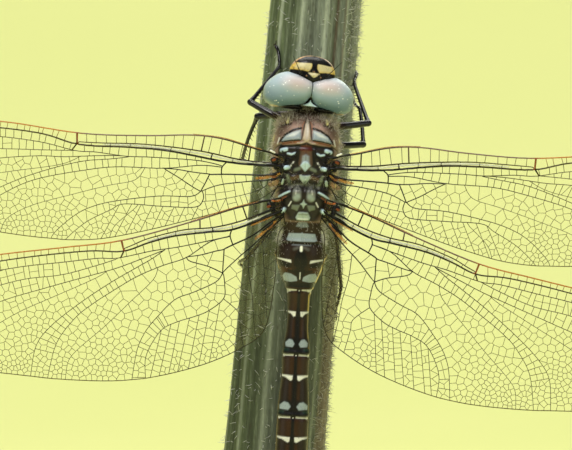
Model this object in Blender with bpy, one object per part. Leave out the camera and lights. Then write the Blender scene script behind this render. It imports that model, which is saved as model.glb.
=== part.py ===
"""A hawker dragonfly clinging to a cut plant stem, which a display stand carries.

Blender 4.5, metres, +Z up. The floor is z = 0, the dragonfly's head is up and its back faces -Y.
Sizes below are in millimetres and degrees. Meshes are scaled to metres as they are made.

The insect is modelled in its own frame: +X is its right, +Y runs to the head, +Z is its back, and the
origin is at the waist, where the abdomen joins the thorax. An empty named dragonfly holds that frame.
"""

import math

import bmesh
import bpy
from mathutils import Matrix, Vector

MM = 0.001
GAP = 0.25  # kept between pieces that touch

# The insect's frame in the world.
WAIST_PLACE = Vector((-0.1, -7.5, 67.4))
BODY_LEAN = 2.8  # the head leans to +X
BODY_PITCH_UP = 90.0  # the head points up

# Head. The eyes' middle is the head's origin, and the head is turned a little on the neck.
HEAD_PLACE = Vector((0.0, 12.75, 0.1))
HEAD_YAW, HEAD_ROLL = -4.6, 8.0
EYE_CENTRE = Vector((1.78, 0.0, 0.15))
EYE_SEMI = Vector((2.82, 1.82, 2.95))
EYE_POWER = 2.35
SKULL_CENTRE, SKULL_SEMI = Vector((0.0, -0.35, -0.3)), Vector((3.6, 1.5, 2.5))
VERTEX_CENTRE, VERTEX_SEMI = Vector((0.0, 1.35, 1.75)), Vector((1.2, 0.65, 0.75))
FRONS_CENTRE, FRONS_SEMI = Vector((0.0, 1.35, 0.75)), Vector((2.42, 2.12, 1.3))
CLYPEUS_CENTRE, CLYPEUS_SEMI = Vector((0.0, 1.2, -0.95)), Vector((2.3, 1.9, 1.3))
LABRUM_CENTRE, LABRUM_SEMI = Vector((0.0, 0.9, -2.1)), Vector((2.0, 1.7, 0.95))
LABIUM_CENTRE, LABIUM_SEMI = Vector((0.0, -0.1, -2.75)), Vector((1.9, 1.75, 0.75))
FRONS_FLOOR, CLYPEUS_FLOOR, LABRUM_FLOOR = -0.1, -1.65, -2.6  # heights of the seams down the face
FACE_BACK = 0.95  # where the face meets the skull
# The room that the eyes leave for the face, and the notch between them for the vertex.
FACE_ROOM_CENTRE, FACE_ROOM_SEMI = Vector((0.0, 1.5, -0.6)), Vector((2.4, 1.9, 2.55))
FACE_ROOM_POWER = 3.2
NOTCH_CENTRE, NOTCH_SEMI = Vector((0.0, 1.85, 2.3)), Vector((1.9, 0.95, 1.9))
ROUNDNESS = 2.3  # of the other head pieces: 2 is an ellipsoid, and more is squarer
ANTENNA_ROOT, ANTENNA_TIP = Vector((1.45, 1.65, 2.1)), Vector((2.35, 2.9, 3.1))
ANTENNA_RADIUS = 0.25

# Trunk: stations from head to tail, as (y, half width, top, bottom).
TRUNK_POWER = 2.6
NECK = ((11.2, 0.8, 0.55, -1.0), (10.0, 0.85, 0.6, -1.1))
PROTHORAX = (
    (10.45, 1.2, 0.8, -1.5),
    (10.15, 1.8, 1.0, -2.4),
    (9.6, 2.05, 0.8, -3.0),
    (9.0, 1.95, 0.2, -3.2),
)
THORAX = (
    (10.3, 1.6, 1.3, -0.5),
    (10.0, 2.45, 2.05, -1.5),
    (9.4, 3.05, 2.8, -2.6),
    (8.6, 3.4, 3.4, -3.5),
    (7.5, 3.55, 3.75, -4.05),
    (6.2, 3.58, 3.75, -4.25),
    (4.2, 3.5, 3.6, -4.0),
    (2.4, 3.25, 3.5, -3.35),
    (0.9, 2.8, 3.35, -2.65),
    (-0.3, 2.35, 2.9, -2.2),
)
# Abdomen: the joints between its ten rings, and its section along the way.
ABDOMEN_JOINTS = (-0.5, -2.7, -7.4, -13.95, -20.25, -26.35, -32.15, -37.55, -41.15, -43.95, -45.75)
ABDOMEN = (
    (-0.5, 2.3, 2.6, -2.2),
    (-1.6, 2.42, 2.5, -2.4),
    (-4.3, 2.55, 2.35, -2.65),
    (-6.3, 1.85, 1.8, -2.2),
    (-7.6, 1.3, 1.35, -1.65),
    (-9.3, 1.12, 1.05, -1.4),
    (-11.6, 1.14, 1.0, -1.4),
    (-13.6, 1.4, 1.05, -1.55),
    (-16.2, 1.36, 1.0, -1.6),
    (-19.6, 1.58, 1.0, -1.75),
    (-26.3, 1.62, 0.95, -1.85),
    (-32.1, 1.64, 0.85, -1.95),
    (-38.0, 1.6, 0.75, -2.0),
    (-41.5, 1.52, 0.6, -1.95),
    (-44.0, 1.36, 0.4, -1.85),
    (-45.75, 1.1, 0.1, -1.65),
)
ABDOMEN_POWER = 2.2
RING_STEP = 1.35  # most distance between two sections of a ring
CERCUS_LENGTH, CERCUS_WIDTH, CERCUS_SPREAD = 4.2, 1.15, 0.62
EPIPROCT_LENGTH = 1.5

# Wings. Each outline starts at the front of the root, with x outwards and y forwards.
WING_THICKNESS = 0.5
FOREWING = {
    "root": Vector((2.95, 5.05, 3.1)),
    "sweep": {"right": 2.8, "left": 3.7},
    "pitch": 13.0,
    "outline": (
        (-0.8, 0.95), (1.9, 1.3), (5.55, 1.99), (8.73, 2.02), (13.33, 1.43), (19.69, 0.92),
        (27.0, 1.2), (33.5, 1.0), (38.3, 0.2), (41.5, -1.35), (43.2, -3.4), (42.2, -5.9),
        (38.2, -8.3), (32.0, -9.75), (24.0, -10.25), (18.1, -9.93), (13.33, -8.65), (7.78, -6.59),
        (2.22, -4.29), (0.3, -3.0), (-0.9, -1.75),
    ),
}
HINDWING = {
    "root": Vector((3.15, 0.42, 2.85)),
    "sweep": {"right": -14.0, "left": -11.7},
    "pitch": 6.0,
    "outline": (
        (-1.1, 1.1), (3.24, 0.81), (8.27, 0.09), (15.29, -0.66), (21.2, -0.45), (28.5, -0.15),
        (34.0, -0.5), (38.3, -1.65), (41.3, -3.6), (42.3, -5.6), (41.0, -7.9), (36.8, -10.2),
        (30.5, -11.75), (23.05, -13.73), (16.41, -14.79), (10.01, -14.48), (5.17, -13.29),
        (2.53, -11.68), (0.85, -7.21), (0.16, -4.1), (-0.35, -2.4), (-1.1, -1.7),
    ),
}
WING_SAMPLES = 4  # outline points made between two given ones

# Perch: a cut length of stem, from its foot to its cut top.
STEM_LEAN = 5.33
STEM_FOOT = Vector((-5.7, 4.0, 15.0))
STEM_LENGTH = 77.5
STEM_RADIUS_FOOT, STEM_RADIUS_TOP = 5.5, 4.7
STEM_RIBS, STEM_RIB_DEPTH = 10, 0.22
STEM_SIDES = 50

# Legs: hips in the insect's frame, knees in the world, then the heel and the toe on the stem, each as
# (height, degrees round the stem from its front, standoff from its face). The left has minus degrees.
LEG_SIDES = 8
LEGS = {
    "front_left": ((-1.15, 9.2, -3.1), (-5.7, -3.2, 78.9), (82.5, -34, 0.85), (84.7, -33, 0.55)),
    "front_right": ((1.15, 9.2, -3.1), (6.8, -3.0, 76.7), (80.9, 56, 0.85), (82.3, 72, 0.55)),
    "middle_left": ((-1.3, 7.4, -4.1), (-4.9, -1.7, 77.6), (73.4, -97, 1.35), (72.3, -125, 0.55)),
    "middle_right": ((1.3, 7.4, -4.1), (6.25, 0.2, 74.55), (78.4, 84, 0.85), (79.8, 112, 0.55)),
    "hind_left": ((-1.4, 5.3, -4.2), (-2.5, -2.9, 66.9), (63.2, -52, 0.85), (61.4, -80, 0.55)),
    "hind_right": ((1.4, 5.3, -4.2), (3.3, -2.6, 66.2), (60.4, 66, 0.85), (57.2, 74, 0.6)),
}
FEMUR_RADII, TIBIA_RADII, TARSUS_RADII = (0.5, 0.36), (0.3, 0.26), (0.26, 0.25)
FEMUR_BOW = Vector((0.0, -0.25, 0.0))

# Stand.
BASE_RADIUS, BASE_HEIGHT, BASE_ROUNDING = 36.0, 6.0, 1.2
BASE_SIDES, ROUNDING_STEPS = 48, 4
ROD_RADIUS = 1.6

# Colours (linear RGB), roughness and metallic value of each finish.
FINISHES = {
    "eye": ((0.33, 0.5, 0.46), 0.12, 0.0),
    "shell_black": ((0.015, 0.012, 0.01), 0.28, 0.0),
    "shell_brown": ((0.13, 0.055, 0.03), 0.45, 0.0),
    "shell_cream": ((0.8, 0.68, 0.28), 0.35, 0.0),
    "wing": ((0.75, 0.72, 0.5), 0.2, 0.0),
    "stem": ((0.16, 0.19, 0.12), 0.7, 0.0),
    "stand_wood": ((0.05, 0.025, 0.012), 0.4, 0.0),
    "stand_metal": ((0.5, 0.5, 0.5), 0.3, 1.0),
}


def clear_scene():
    for old in list(bpy.data.objects):
        bpy.data.objects.remove(old, do_unlink=True)


def finish(name):
    """The material of that name, made once, with one Principled BSDF."""
    material = bpy.data.materials.get(name)
    if material is None:
        colour, roughness, metallic = FINISHES[name]
        material = bpy.data.materials.new(name)
        material.use_nodes = True
        shader = material.node_tree.nodes["Principled BSDF"]
        shader.inputs["Base Color"].default_value = (*colour, 1.0)
        shader.inputs["Roughness"].default_value = roughness
        shader.inputs["Metallic"].default_value = metallic
    return material


def add_object(name, bm, finish_name, parent=None):
    """Turns a bmesh in millimetres into an object in metres, shaded smooth but for its sharp edges."""
    bmesh.ops.recalc_face_normals(bm, faces=bm.faces)
    bmesh.ops.triangulate(bm, faces=[face for face in bm.faces if len(face.verts) > 4])
    bm.transform(Matrix.Scale(MM, 4))
    mesh = bpy.data.meshes.new(name)
    bm.to_mesh(mesh)
    bm.free()
    mesh.shade_smooth()
    mesh.set_sharp_from_angle(angle=math.radians(40))
    mesh.materials.append(finish(finish_name))
    made = bpy.data.objects.new(name, mesh)
    made.parent = parent
    bpy.context.scene.collection.objects.link(made)
    return made


def hide_helper(helper):
    """Keeps a cutter out of renders and draws it as wire."""
    helper.hide_render = True
    helper.display_type = "WIRE"


def carve(target, neighbour, gap=GAP):
    """Cuts the neighbour's shape, grown by the gap, out of the target."""
    mesh = neighbour.data.copy()
    for vertex in mesh.vertices:
        vertex.co += vertex.normal * gap * MM
    cutter = bpy.data.objects.new(f"{neighbour.name}_cutter", mesh)
    cutter.parent = neighbour.parent
    bpy.context.scene.collection.objects.link(cutter)
    hide_helper(cutter)
    cut = target.modifiers.new(f"room_for_{neighbour.name}", "BOOLEAN")
    cut.operation = "DIFFERENCE"
    cut.object = cutter


def spline(points, samples, closed=False):
    """A Catmull-Rom curve through the points, with that many steps between two of them."""
    points = [Vector(p) for p in points]
    count = len(points)
    spans = count if closed else count - 1

    def at(i):
        return points[i % count] if closed else points[min(max(i, 0), count - 1)]

    curve = []
    for i in range(spans):
        a, b, c, d = (at(i + k) for k in (-1, 0, 1, 2))
        for step in range(samples):
            t = step / samples
            bend = (2 * a - 5 * b + 4 * c - d) * t * t + (3 * b - a - 3 * c + d) * t**3
            curve.append(b + ((c - a) * t + bend) / 2)
    return curve if closed else [*curve, points[-1]]


def section_at(stations, y):
    """(half width, top, bottom) at y, eased between the stations on its two sides."""
    for front, back in zip(stations, stations[1:]):
        if y >= back[0]:
            break
    share = min(max((front[0] - y) / (front[0] - back[0]), 0.0), 1.0)
    return [a + (b - a) * share for a, b in zip(front[1:], back[1:])]


def ring(y, half_width, top, bottom, power, sides):
    """A rounded ring across the body: an ellipse at power 2, and squarer above it."""
    middle, half_height = (top + bottom) / 2, (top - bottom) / 2
    points = []
    for i in range(sides):
        angle = math.tau * (i + 0.5) / sides
        c, s = math.cos(angle), math.sin(angle)
        reach = (abs(c) ** power + abs(s) ** power) ** (-1 / power)
        points.append(Vector((half_width * c * reach, y, middle + half_height * s * reach)))
    return points


def skin_over(rings):
    """A closed body through rings of equal count."""
    bm = bmesh.new()
    loops = [[bm.verts.new(point) for point in points] for points in rings]
    for near, far in zip(loops, loops[1:]):
        for i in range(len(near)):
            j = (i + 1) % len(near)
            bm.faces.new((near[i], near[j], far[j], far[i]))
    bm.faces.new(loops[0])
    bm.faces.new(loops[-1])
    return bm


def trunk_piece(stations, sides=20, steps=2):
    """A body piece through its stations, smoothed between them."""
    rings = [ring(*station, TRUNK_POWER, sides) for station in spline_rows(stations, steps)]
    return skin_over(rings)


def spline_rows(stations, steps):
    """The stations with smooth ones between them."""
    rows = []
    fronts = spline([(s[0], s[1], 0.0) for s in stations], steps)
    heights = spline([(s[0], s[2], s[3]) for s in stations], steps)
    for front, height in zip(fronts, heights):
        rows.append((front.x, front.y, height.y, height.z))
    return rows


def rounded_body(centre, semi, power=ROUNDNESS, segments=20, rings=12):
    """An ellipsoid, made squarer by a power above 2."""
    bm = bmesh.new()
    bmesh.ops.create_uvsphere(bm, u_segments=segments, v_segments=rings, radius=1.0)
    for vertex in bm.verts:
        x, y, z = vertex.co
        reach = (abs(x) ** power + abs(y) ** power + abs(z) ** power) ** (-1 / power)
        vertex.co = centre + Vector((x * semi.x, y * semi.y, z * semi.z)) * reach
    return bm


def cut_off(bm, point, normal):
    """Removes what lies past a plane, on the side that its normal points to, and closes the cut."""
    whole = [*bm.verts, *bm.edges, *bm.faces]
    done = bmesh.ops.bisect_plane(
        bm, geom=whole, dist=1e-6, plane_co=point, plane_no=normal, clear_outer=True
    )
    rim = [piece for piece in done["geom_cut"] if isinstance(piece, bmesh.types.BMEdge)]
    bmesh.ops.edgeloop_fill(bm, edges=rim)
    return bm


def tube(path, radii, sides=LEG_SIDES):
    """A round tube along the path, whose radius eases from the first to the last, with rounded ends."""
    path = [Vector(p) for p in path]
    lengths = [0.0]
    for a, b in zip(path, path[1:]):
        lengths.append(lengths[-1] + (b - a).length)
    side = Vector((0.0, 0.0, 1.0)).cross(path[-1] - path[0])
    side = side if side.length > 1e-6 else Vector((1.0, 0.0, 0.0))
    rings = []
    for i, point in enumerate(path):
        along = (path[min(i + 1, len(path) - 1)] - path[max(i - 1, 0)]).normalized()
        side = (side - along * side.dot(along)).normalized()
        other = along.cross(side)
        radius = radii[0] + (radii[1] - radii[0]) * lengths[i] / lengths[-1]
        circle = [
            side * math.cos(math.tau * k / sides) + other * math.sin(math.tau * k / sides)
            for k in range(sides)
        ]
        if i == 0:
            rings.append([point - along * radius * 0.45 + c * radius * 0.6 for c in circle])
        rings.append([point + c * radius for c in circle])
        if i == len(path) - 1:
            rings.append([point + along * radius * 0.45 + c * radius * 0.6 for c in circle])
    return skin_over(rings)


def plate(outline, thickness):
    """A flat plate of that outline, its middle plane at z = 0."""
    bm = bmesh.new()
    face = bm.faces.new([bm.verts.new((p.x, p.y, -thickness / 2)) for p in outline])
    grown = bmesh.ops.extrude_face_region(bm, geom=[face])
    raised = [piece for piece in grown["geom"] if isinstance(piece, bmesh.types.BMVert)]
    bmesh.ops.translate(bm, verts=raised, vec=(0.0, 0.0, thickness))
    return bm


def mirrored(bm):
    bm.transform(Matrix.Scale(-1, 4, (1.0, 0.0, 0.0)))
    return bm


def insect_frame():
    """The empty that carries the dragonfly, at its waist, with the head up and the back to -Y."""
    frame = bpy.data.objects.new("dragonfly", None)
    bpy.context.scene.collection.objects.link(frame)
    lean = Matrix.Rotation(math.radians(BODY_LEAN), 4, "Y")
    upright = Matrix.Rotation(math.radians(BODY_PITCH_UP), 4, "X")
    frame.matrix_world = Matrix.Translation(WAIST_PLACE * MM) @ lean @ upright
    return frame


def build_head(frame):
    """Skull, two meeting eyes, the face in three steps, the lower lip and the feelers."""
    neck_joint = bpy.data.objects.new("head_joint", None)
    bpy.context.scene.collection.objects.link(neck_joint)
    neck_joint.parent = frame
    neck_joint.location = HEAD_PLACE * MM
    neck_joint.rotation_euler = (0.0, math.radians(HEAD_ROLL), math.radians(HEAD_YAW))

    skull = add_object("head", rounded_body(SKULL_CENTRE, SKULL_SEMI), "shell_black", neck_joint)
    up, down, back = Vector((0, 0, 1)), Vector((0, 0, -1)), Vector((0, -1, 0))
    face_plane = Vector((0.0, FACE_BACK, 0.0))
    steps = (
        ("frons", FRONS_CENTRE, FRONS_SEMI, None, FRONS_FLOOR, "shell_cream"),
        ("clypeus", CLYPEUS_CENTRE, CLYPEUS_SEMI, FRONS_FLOOR, CLYPEUS_FLOOR, "shell_cream"),
        ("labrum", LABRUM_CENTRE, LABRUM_SEMI, CLYPEUS_FLOOR, LABRUM_FLOOR, "shell_cream"),
        ("labium", LABIUM_CENTRE, LABIUM_SEMI, LABRUM_FLOOR, None, "shell_brown"),
    )
    face = []
    for name, centre, semi, ceiling, floor, finish_name in steps:
        bm = rounded_body(centre, semi, segments=16, rings=8)
        if name != "labium":
            cut_off(bm, face_plane, back)
        if ceiling is not None:
            cut_off(bm, Vector((0.0, 0.0, ceiling - GAP / 2)), up)
        if floor is not None:
            cut_off(bm, Vector((0.0, 0.0, floor + GAP / 2)), down)
        face.append(add_object(name, bm, finish_name, neck_joint))
        if name != "labium":
            carve(face[-1], skull)
    carve(face[-1], skull)

    bm = rounded_body(VERTEX_CENTRE, VERTEX_SEMI, segments=14, rings=8)
    face.append(add_object("vertex", bm, "shell_black", neck_joint))
    carve(face[-1], skull)
    carve(face[-1], face[0])

    rooms = [skull]
    for name, centre, semi, power in (
        ("face_room", FACE_ROOM_CENTRE, FACE_ROOM_SEMI, FACE_ROOM_POWER),
        ("notch", NOTCH_CENTRE, NOTCH_SEMI, ROUNDNESS),
    ):
        room = add_object(name, rounded_body(centre, semi, power), "shell_black", neck_joint)
        hide_helper(room)
        rooms.append(room)
    for side in ("right", "left"):
        bm = rounded_body(EYE_CENTRE, EYE_SEMI, EYE_POWER, segments=24, rings=16)
        cut_off(bm, Vector((GAP / 4, 0.0, 0.0)), Vector((-1.0, 0.0, 0.0)))
        feeler = tube((ANTENNA_ROOT, ANTENNA_TIP), (ANTENNA_RADIUS, ANTENNA_RADIUS), sides=6)
        if side == "left":
            mirrored(bm)
            mirrored(feeler)
        eye = add_object(f"eye_{side}", bm, "eye", neck_joint)
        for room in rooms:
            carve(eye, room)
        antenna = add_object(f"antenna_{side}", feeler, "shell_black", neck_joint)
        for piece in (face[0], eye):
            carve(antenna, piece)
    return skull


def build_trunk(frame, skull):
    """Neck, prothorax and thorax."""
    neck = add_object("neck", trunk_piece(NECK, sides=14, steps=1), "shell_brown", frame)
    carve(neck, skull)
    prothorax = add_object("prothorax", trunk_piece(PROTHORAX, sides=16), "shell_brown", frame)
    carve(prothorax, neck)
    thorax = add_object("thorax", trunk_piece(THORAX, sides=24), "shell_brown", frame)
    carve(thorax, prothorax)
    carve(thorax, neck)
    return prothorax, thorax


def build_abdomen(frame):
    """Ten rings with a thin gap at each joint, the two leaf-shaped cerci and the plate between them."""
    pairs = zip(ABDOMEN_JOINTS, ABDOMEN_JOINTS[1:])
    for number, (front, back) in enumerate(pairs, start=1):
        front, back = front - GAP / 2, back + GAP / 2
        steps = max(2, math.ceil((front - back) / RING_STEP))
        rings = []
        for step in range(steps + 1):
            y = front + (back - front) * step / steps
            rings.append(ring(y, *section_at(ABDOMEN, y), ABDOMEN_POWER, 16))
        add_object(f"abdomen_{number}", skin_over(rings), "shell_brown", frame)

    tail_y = ABDOMEN_JOINTS[-1] - GAP
    _, top, bottom = section_at(ABDOMEN, tail_y)
    middle = (top + bottom) / 2
    for side, sign in (("right", 1), ("left", -1)):
        rings = []
        for share, width in ((0.0, 0.45), (0.25, 0.75), (0.6, 1.0), (0.85, 0.8), (1.0, 0.4)):
            leaf = ring(
                tail_y - CERCUS_LENGTH * share,
                CERCUS_WIDTH * width / 2,
                middle + 0.55,
                middle + 0.05,
                2.0,
                8,
            )
            shift = Vector((sign * (CERCUS_SPREAD + 0.35 * share), 0.0, 0.0))
            rings.append([point + shift for point in leaf])
        add_object(f"cercus_{side}", skin_over(rings), "shell_black", frame)
    rings = [
        ring(tail_y - EPIPROCT_LENGTH * share, 0.55 * (1 - 0.5 * share), middle - 0.3, middle - 0.9, 2.0, 8)
        for share in (0.0, 0.5, 1.0)
    ]
    add_object("epiproct", skin_over(rings), "shell_brown", frame)


def build_wings(frame, thorax):
    for pair, wing in (("forewing", FOREWING), ("hindwing", HINDWING)):
        outline = spline([(x, y, 0.0) for x, y in wing["outline"]], WING_SAMPLES)
        for side in ("right", "left"):
            bm = plate(outline, WING_THICKNESS)
            bm.transform(Matrix.Rotation(math.radians(wing["pitch"]), 4, "X"))
            bm.transform(Matrix.Rotation(math.radians(wing["sweep"][side]), 4, "Z"))
            bm.transform(Matrix.Translation(wing["root"]))
            if side == "left":
                mirrored(bm)
            made = add_object(f"{pair}_{side}", bm, "wing", frame)
            carve(made, thorax)


def stem_axis(z):
    """The point of the stem's axis at height z."""
    rise = z - STEM_FOOT.z
    return Vector((STEM_FOOT.x + rise * math.tan(math.radians(STEM_LEAN)), STEM_FOOT.y, z))


def stem_radius(z):
    share = (z - STEM_FOOT.z) / STEM_LENGTH
    return STEM_RADIUS_FOOT + (STEM_RADIUS_TOP - STEM_RADIUS_FOOT) * share


def beside_stem(z, degrees, standoff):
    """A point that far off the stem's face, at height z and that many degrees round from its front."""
    reach = stem_radius(z) + standoff
    angle = math.radians(degrees)
    return stem_axis(z) + Vector((reach * math.sin(angle), -reach * math.cos(angle), 0.0))


def build_stem():
    """The ribbed stem, cut square at both ends."""
    rings = []
    for z in (STEM_FOOT.z, STEM_FOOT.z + STEM_LENGTH / 2, STEM_FOOT.z + STEM_LENGTH):
        points = []
        for i in range(STEM_SIDES):
            angle = math.tau * i / STEM_SIDES
            radius = stem_radius(z) - STEM_RIB_DEPTH * (0.5 + 0.5 * math.cos(STEM_RIBS * angle))
            across = Vector((radius * math.sin(angle), -radius * math.cos(angle), 0.0))
            points.append(stem_axis(z) + across)
        rings.append(points)
    add_object("perch_stem", skin_over(rings), "stem")


def build_legs(frame, prothorax, thorax):
    """Six legs in three pieces each: from a hip under the thorax, out to a knee, and in to the stem."""
    for name, (hip, knee, foot, toe) in LEGS.items():
        hip = frame.matrix_world @ (Vector(hip) * MM) / MM
        knee = Vector(knee)
        heel, tip = beside_stem(*foot), beside_stem(*toe)
        instep = beside_stem(*((a + b) / 2 for a, b in zip(foot, toe)))
        thigh, shin = (knee - hip).normalized(), (heel - knee).normalized()
        sole = (instep - heel).normalized()

        bowed = (hip + knee) / 2 + FEMUR_BOW
        femur = tube((hip, bowed, knee - thigh * GAP), FEMUR_RADII)
        femur = add_object(f"femur_{name}", femur, "shell_black")
        for trunk_part in (prothorax, thorax):
            carve(femur, trunk_part)

        tibia_start = knee + shin * (FEMUR_RADII[1] + GAP)
        add_object(f"tibia_{name}", tube((tibia_start, heel), TIBIA_RADII), "shell_black")

        ankle = heel + sole * (TIBIA_RADII[1] + GAP)
        add_object(f"tarsus_{name}", tube((ankle, instep, tip), TARSUS_RADII), "shell_black")


def build_stand():
    """A turned base and one short rod up to the stem's foot."""
    profile = [(BASE_RADIUS - BASE_ROUNDING / 2, 0.0), (BASE_RADIUS, BASE_ROUNDING / 2)]
    for step in range(ROUNDING_STEPS + 1):
        angle = math.pi / 2 * step / ROUNDING_STEPS
        profile.append(
            (
                BASE_RADIUS - BASE_ROUNDING * (1 - math.cos(angle)),
                BASE_HEIGHT - BASE_ROUNDING * (1 - math.sin(angle)),
            )
        )
    angles = [math.tau * i / BASE_SIDES for i in range(BASE_SIDES)]
    rings = [
        [Vector((radius * math.cos(angle), radius * math.sin(angle), z)) for angle in angles]
        for radius, z in profile
    ]
    add_object("stand_base", skin_over(rings), "stand_wood")

    rod = bmesh.new()
    height = STEM_FOOT.z - BASE_HEIGHT - 2 * GAP
    bmesh.ops.create_cone(
        rod, cap_ends=True, segments=20, radius1=ROD_RADIUS, radius2=ROD_RADIUS, depth=height
    )
    rod.transform(Matrix.Translation((STEM_FOOT.x, STEM_FOOT.y, BASE_HEIGHT + GAP + height / 2)))
    add_object("stand_rod", rod, "stand_metal")


def main():
    clear_scene()
    frame = insect_frame()
    bpy.context.view_layer.update()
    skull = build_head(frame)
    prothorax, thorax = build_trunk(frame, skull)
    build_abdomen(frame)
    build_wings(frame, thorax)
    build_legs(frame, prothorax, thorax)
    build_stem()
    build_stand()
    bpy.context.view_layer.update()


main()
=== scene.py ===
"""A hawker dragonfly clinging to a cut plant stem: the finished surfaces round the solid model.

Lengths in the classes are in millimetres and angles in degrees. The insect has a frame of its own: +X is
its right, +Y runs to the head and +Z is its back, with the origin at the waist. Every surface is worked
out from the sizes held by its class, and every colour change from outlines in the insect's own frame.
"""

from __future__ import annotations

import logging
import math
from collections.abc import Callable
from dataclasses import dataclass, field, replace
from enum import Enum

import bpy
import numpy as np
from mathutils import Matrix, Vector
from mathutils.geometry import delaunay_2d_cdt


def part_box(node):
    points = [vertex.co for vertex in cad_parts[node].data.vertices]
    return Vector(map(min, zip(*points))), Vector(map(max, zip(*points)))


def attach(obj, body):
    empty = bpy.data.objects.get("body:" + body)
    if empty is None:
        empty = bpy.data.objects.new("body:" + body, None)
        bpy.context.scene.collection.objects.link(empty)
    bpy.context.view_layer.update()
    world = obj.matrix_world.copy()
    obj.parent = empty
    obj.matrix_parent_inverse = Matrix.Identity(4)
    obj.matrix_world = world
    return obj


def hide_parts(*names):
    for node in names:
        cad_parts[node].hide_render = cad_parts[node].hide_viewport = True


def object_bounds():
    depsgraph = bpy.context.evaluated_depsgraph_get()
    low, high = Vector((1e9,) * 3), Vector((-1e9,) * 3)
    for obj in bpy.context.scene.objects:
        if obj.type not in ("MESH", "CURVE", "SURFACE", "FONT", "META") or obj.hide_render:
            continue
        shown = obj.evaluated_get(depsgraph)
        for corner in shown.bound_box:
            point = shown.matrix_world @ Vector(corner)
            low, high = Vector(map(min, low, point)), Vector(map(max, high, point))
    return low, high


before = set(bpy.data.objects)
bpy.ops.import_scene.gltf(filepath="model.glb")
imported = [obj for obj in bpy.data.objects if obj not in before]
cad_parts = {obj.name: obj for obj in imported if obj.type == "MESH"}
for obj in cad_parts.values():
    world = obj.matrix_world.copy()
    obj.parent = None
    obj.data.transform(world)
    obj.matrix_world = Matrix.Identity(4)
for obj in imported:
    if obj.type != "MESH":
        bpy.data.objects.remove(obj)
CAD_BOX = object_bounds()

MM = 0.001
BODY = "root"
log = logging.getLogger("dragonfly")

Array = np.ndarray
Material = bpy.types.Material
Pair = tuple[float, float]
Triple = tuple[float, float, float]
Outline = tuple[Pair, ...]


# ----- colours and shader maths


def linear(red: float, green: float, blue: float) -> Triple:
    """Linear light for a display colour given in steps of 0 to 255."""
    shares = (red / 255, green / 255, blue / 255)
    return tuple(s / 12.92 if s <= 0.04045 else ((s + 0.055) / 1.055) ** 2.4 for s in shares)


class Tint(Enum):
    """The colours of the shell, its marks, the veins and the stem."""

    BLACK = linear(13, 12, 13)
    DARK_BROWN = linear(29, 20, 13)
    BROWN = linear(36, 23, 14)
    THORAX_BROWN = linear(128, 105, 94)
    SIDE_BROWN = linear(104, 80, 60)
    RUST = linear(68, 40, 20)
    EMBER = linear(108, 54, 24)
    RED_BROWN = linear(120, 62, 44)
    MAROON = linear(68, 21, 13)
    ORANGE = linear(158, 88, 42)
    ORANGE_BROWN = linear(126, 80, 52)
    AMBER = linear(186, 120, 40)
    PINK_BROWN = linear(178, 144, 130)
    BEIGE = linear(172, 156, 138)
    CREAM = linear(214, 214, 208)
    YELLOW = linear(206, 174, 80)
    STRAW = linear(206, 196, 132)
    FACE_CREAM = linear(192, 181, 138)
    GREY = linear(120, 122, 118)
    GREY_GREEN = linear(104, 112, 98)
    GREY_BLUE = linear(140, 152, 160)
    PALE_BLUE = linear(176, 198, 210)
    PALE_GREEN = linear(148, 162, 154)
    WHITE = linear(232, 232, 224)
    DEEP_GREEN = linear(20, 42, 36)
    HAIR = linear(226, 218, 200)
    DARK_HAIR = linear(60, 48, 40)


def math_node(operation: str, swapped: bool = False) -> Callable[..., Sock]:
    """A method that adds one Math node, with its two values swapped for a reflected operator.

    Args:
        operation: what the node does.
        swapped: whether the other value comes first.

    Returns:
        The method.
    """

    def method(self: Sock, other: Sock | float = 0.0) -> Sock:
        """The node's result."""
        pair = (other, self) if swapped else (self, other)
        return self.shade.add("Math", {"operation": operation}, dict(enumerate(pair)))

    return method


class Sock:
    """A shader value, on which Python's operators add Math nodes."""

    __add__ = __radd__ = math_node("ADD")
    __sub__, __rsub__ = math_node("SUBTRACT"), math_node("SUBTRACT", True)
    __mul__ = __rmul__ = math_node("MULTIPLY")
    __pow__ = math_node("POWER")
    __abs__ = math_node("ABSOLUTE")

    def __init__(self, shade: Shade, socket: bpy.types.NodeSocket) -> None:
        """Keeps the socket and the finish that it belongs to."""
        self.shade = shade
        self.socket = socket


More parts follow.
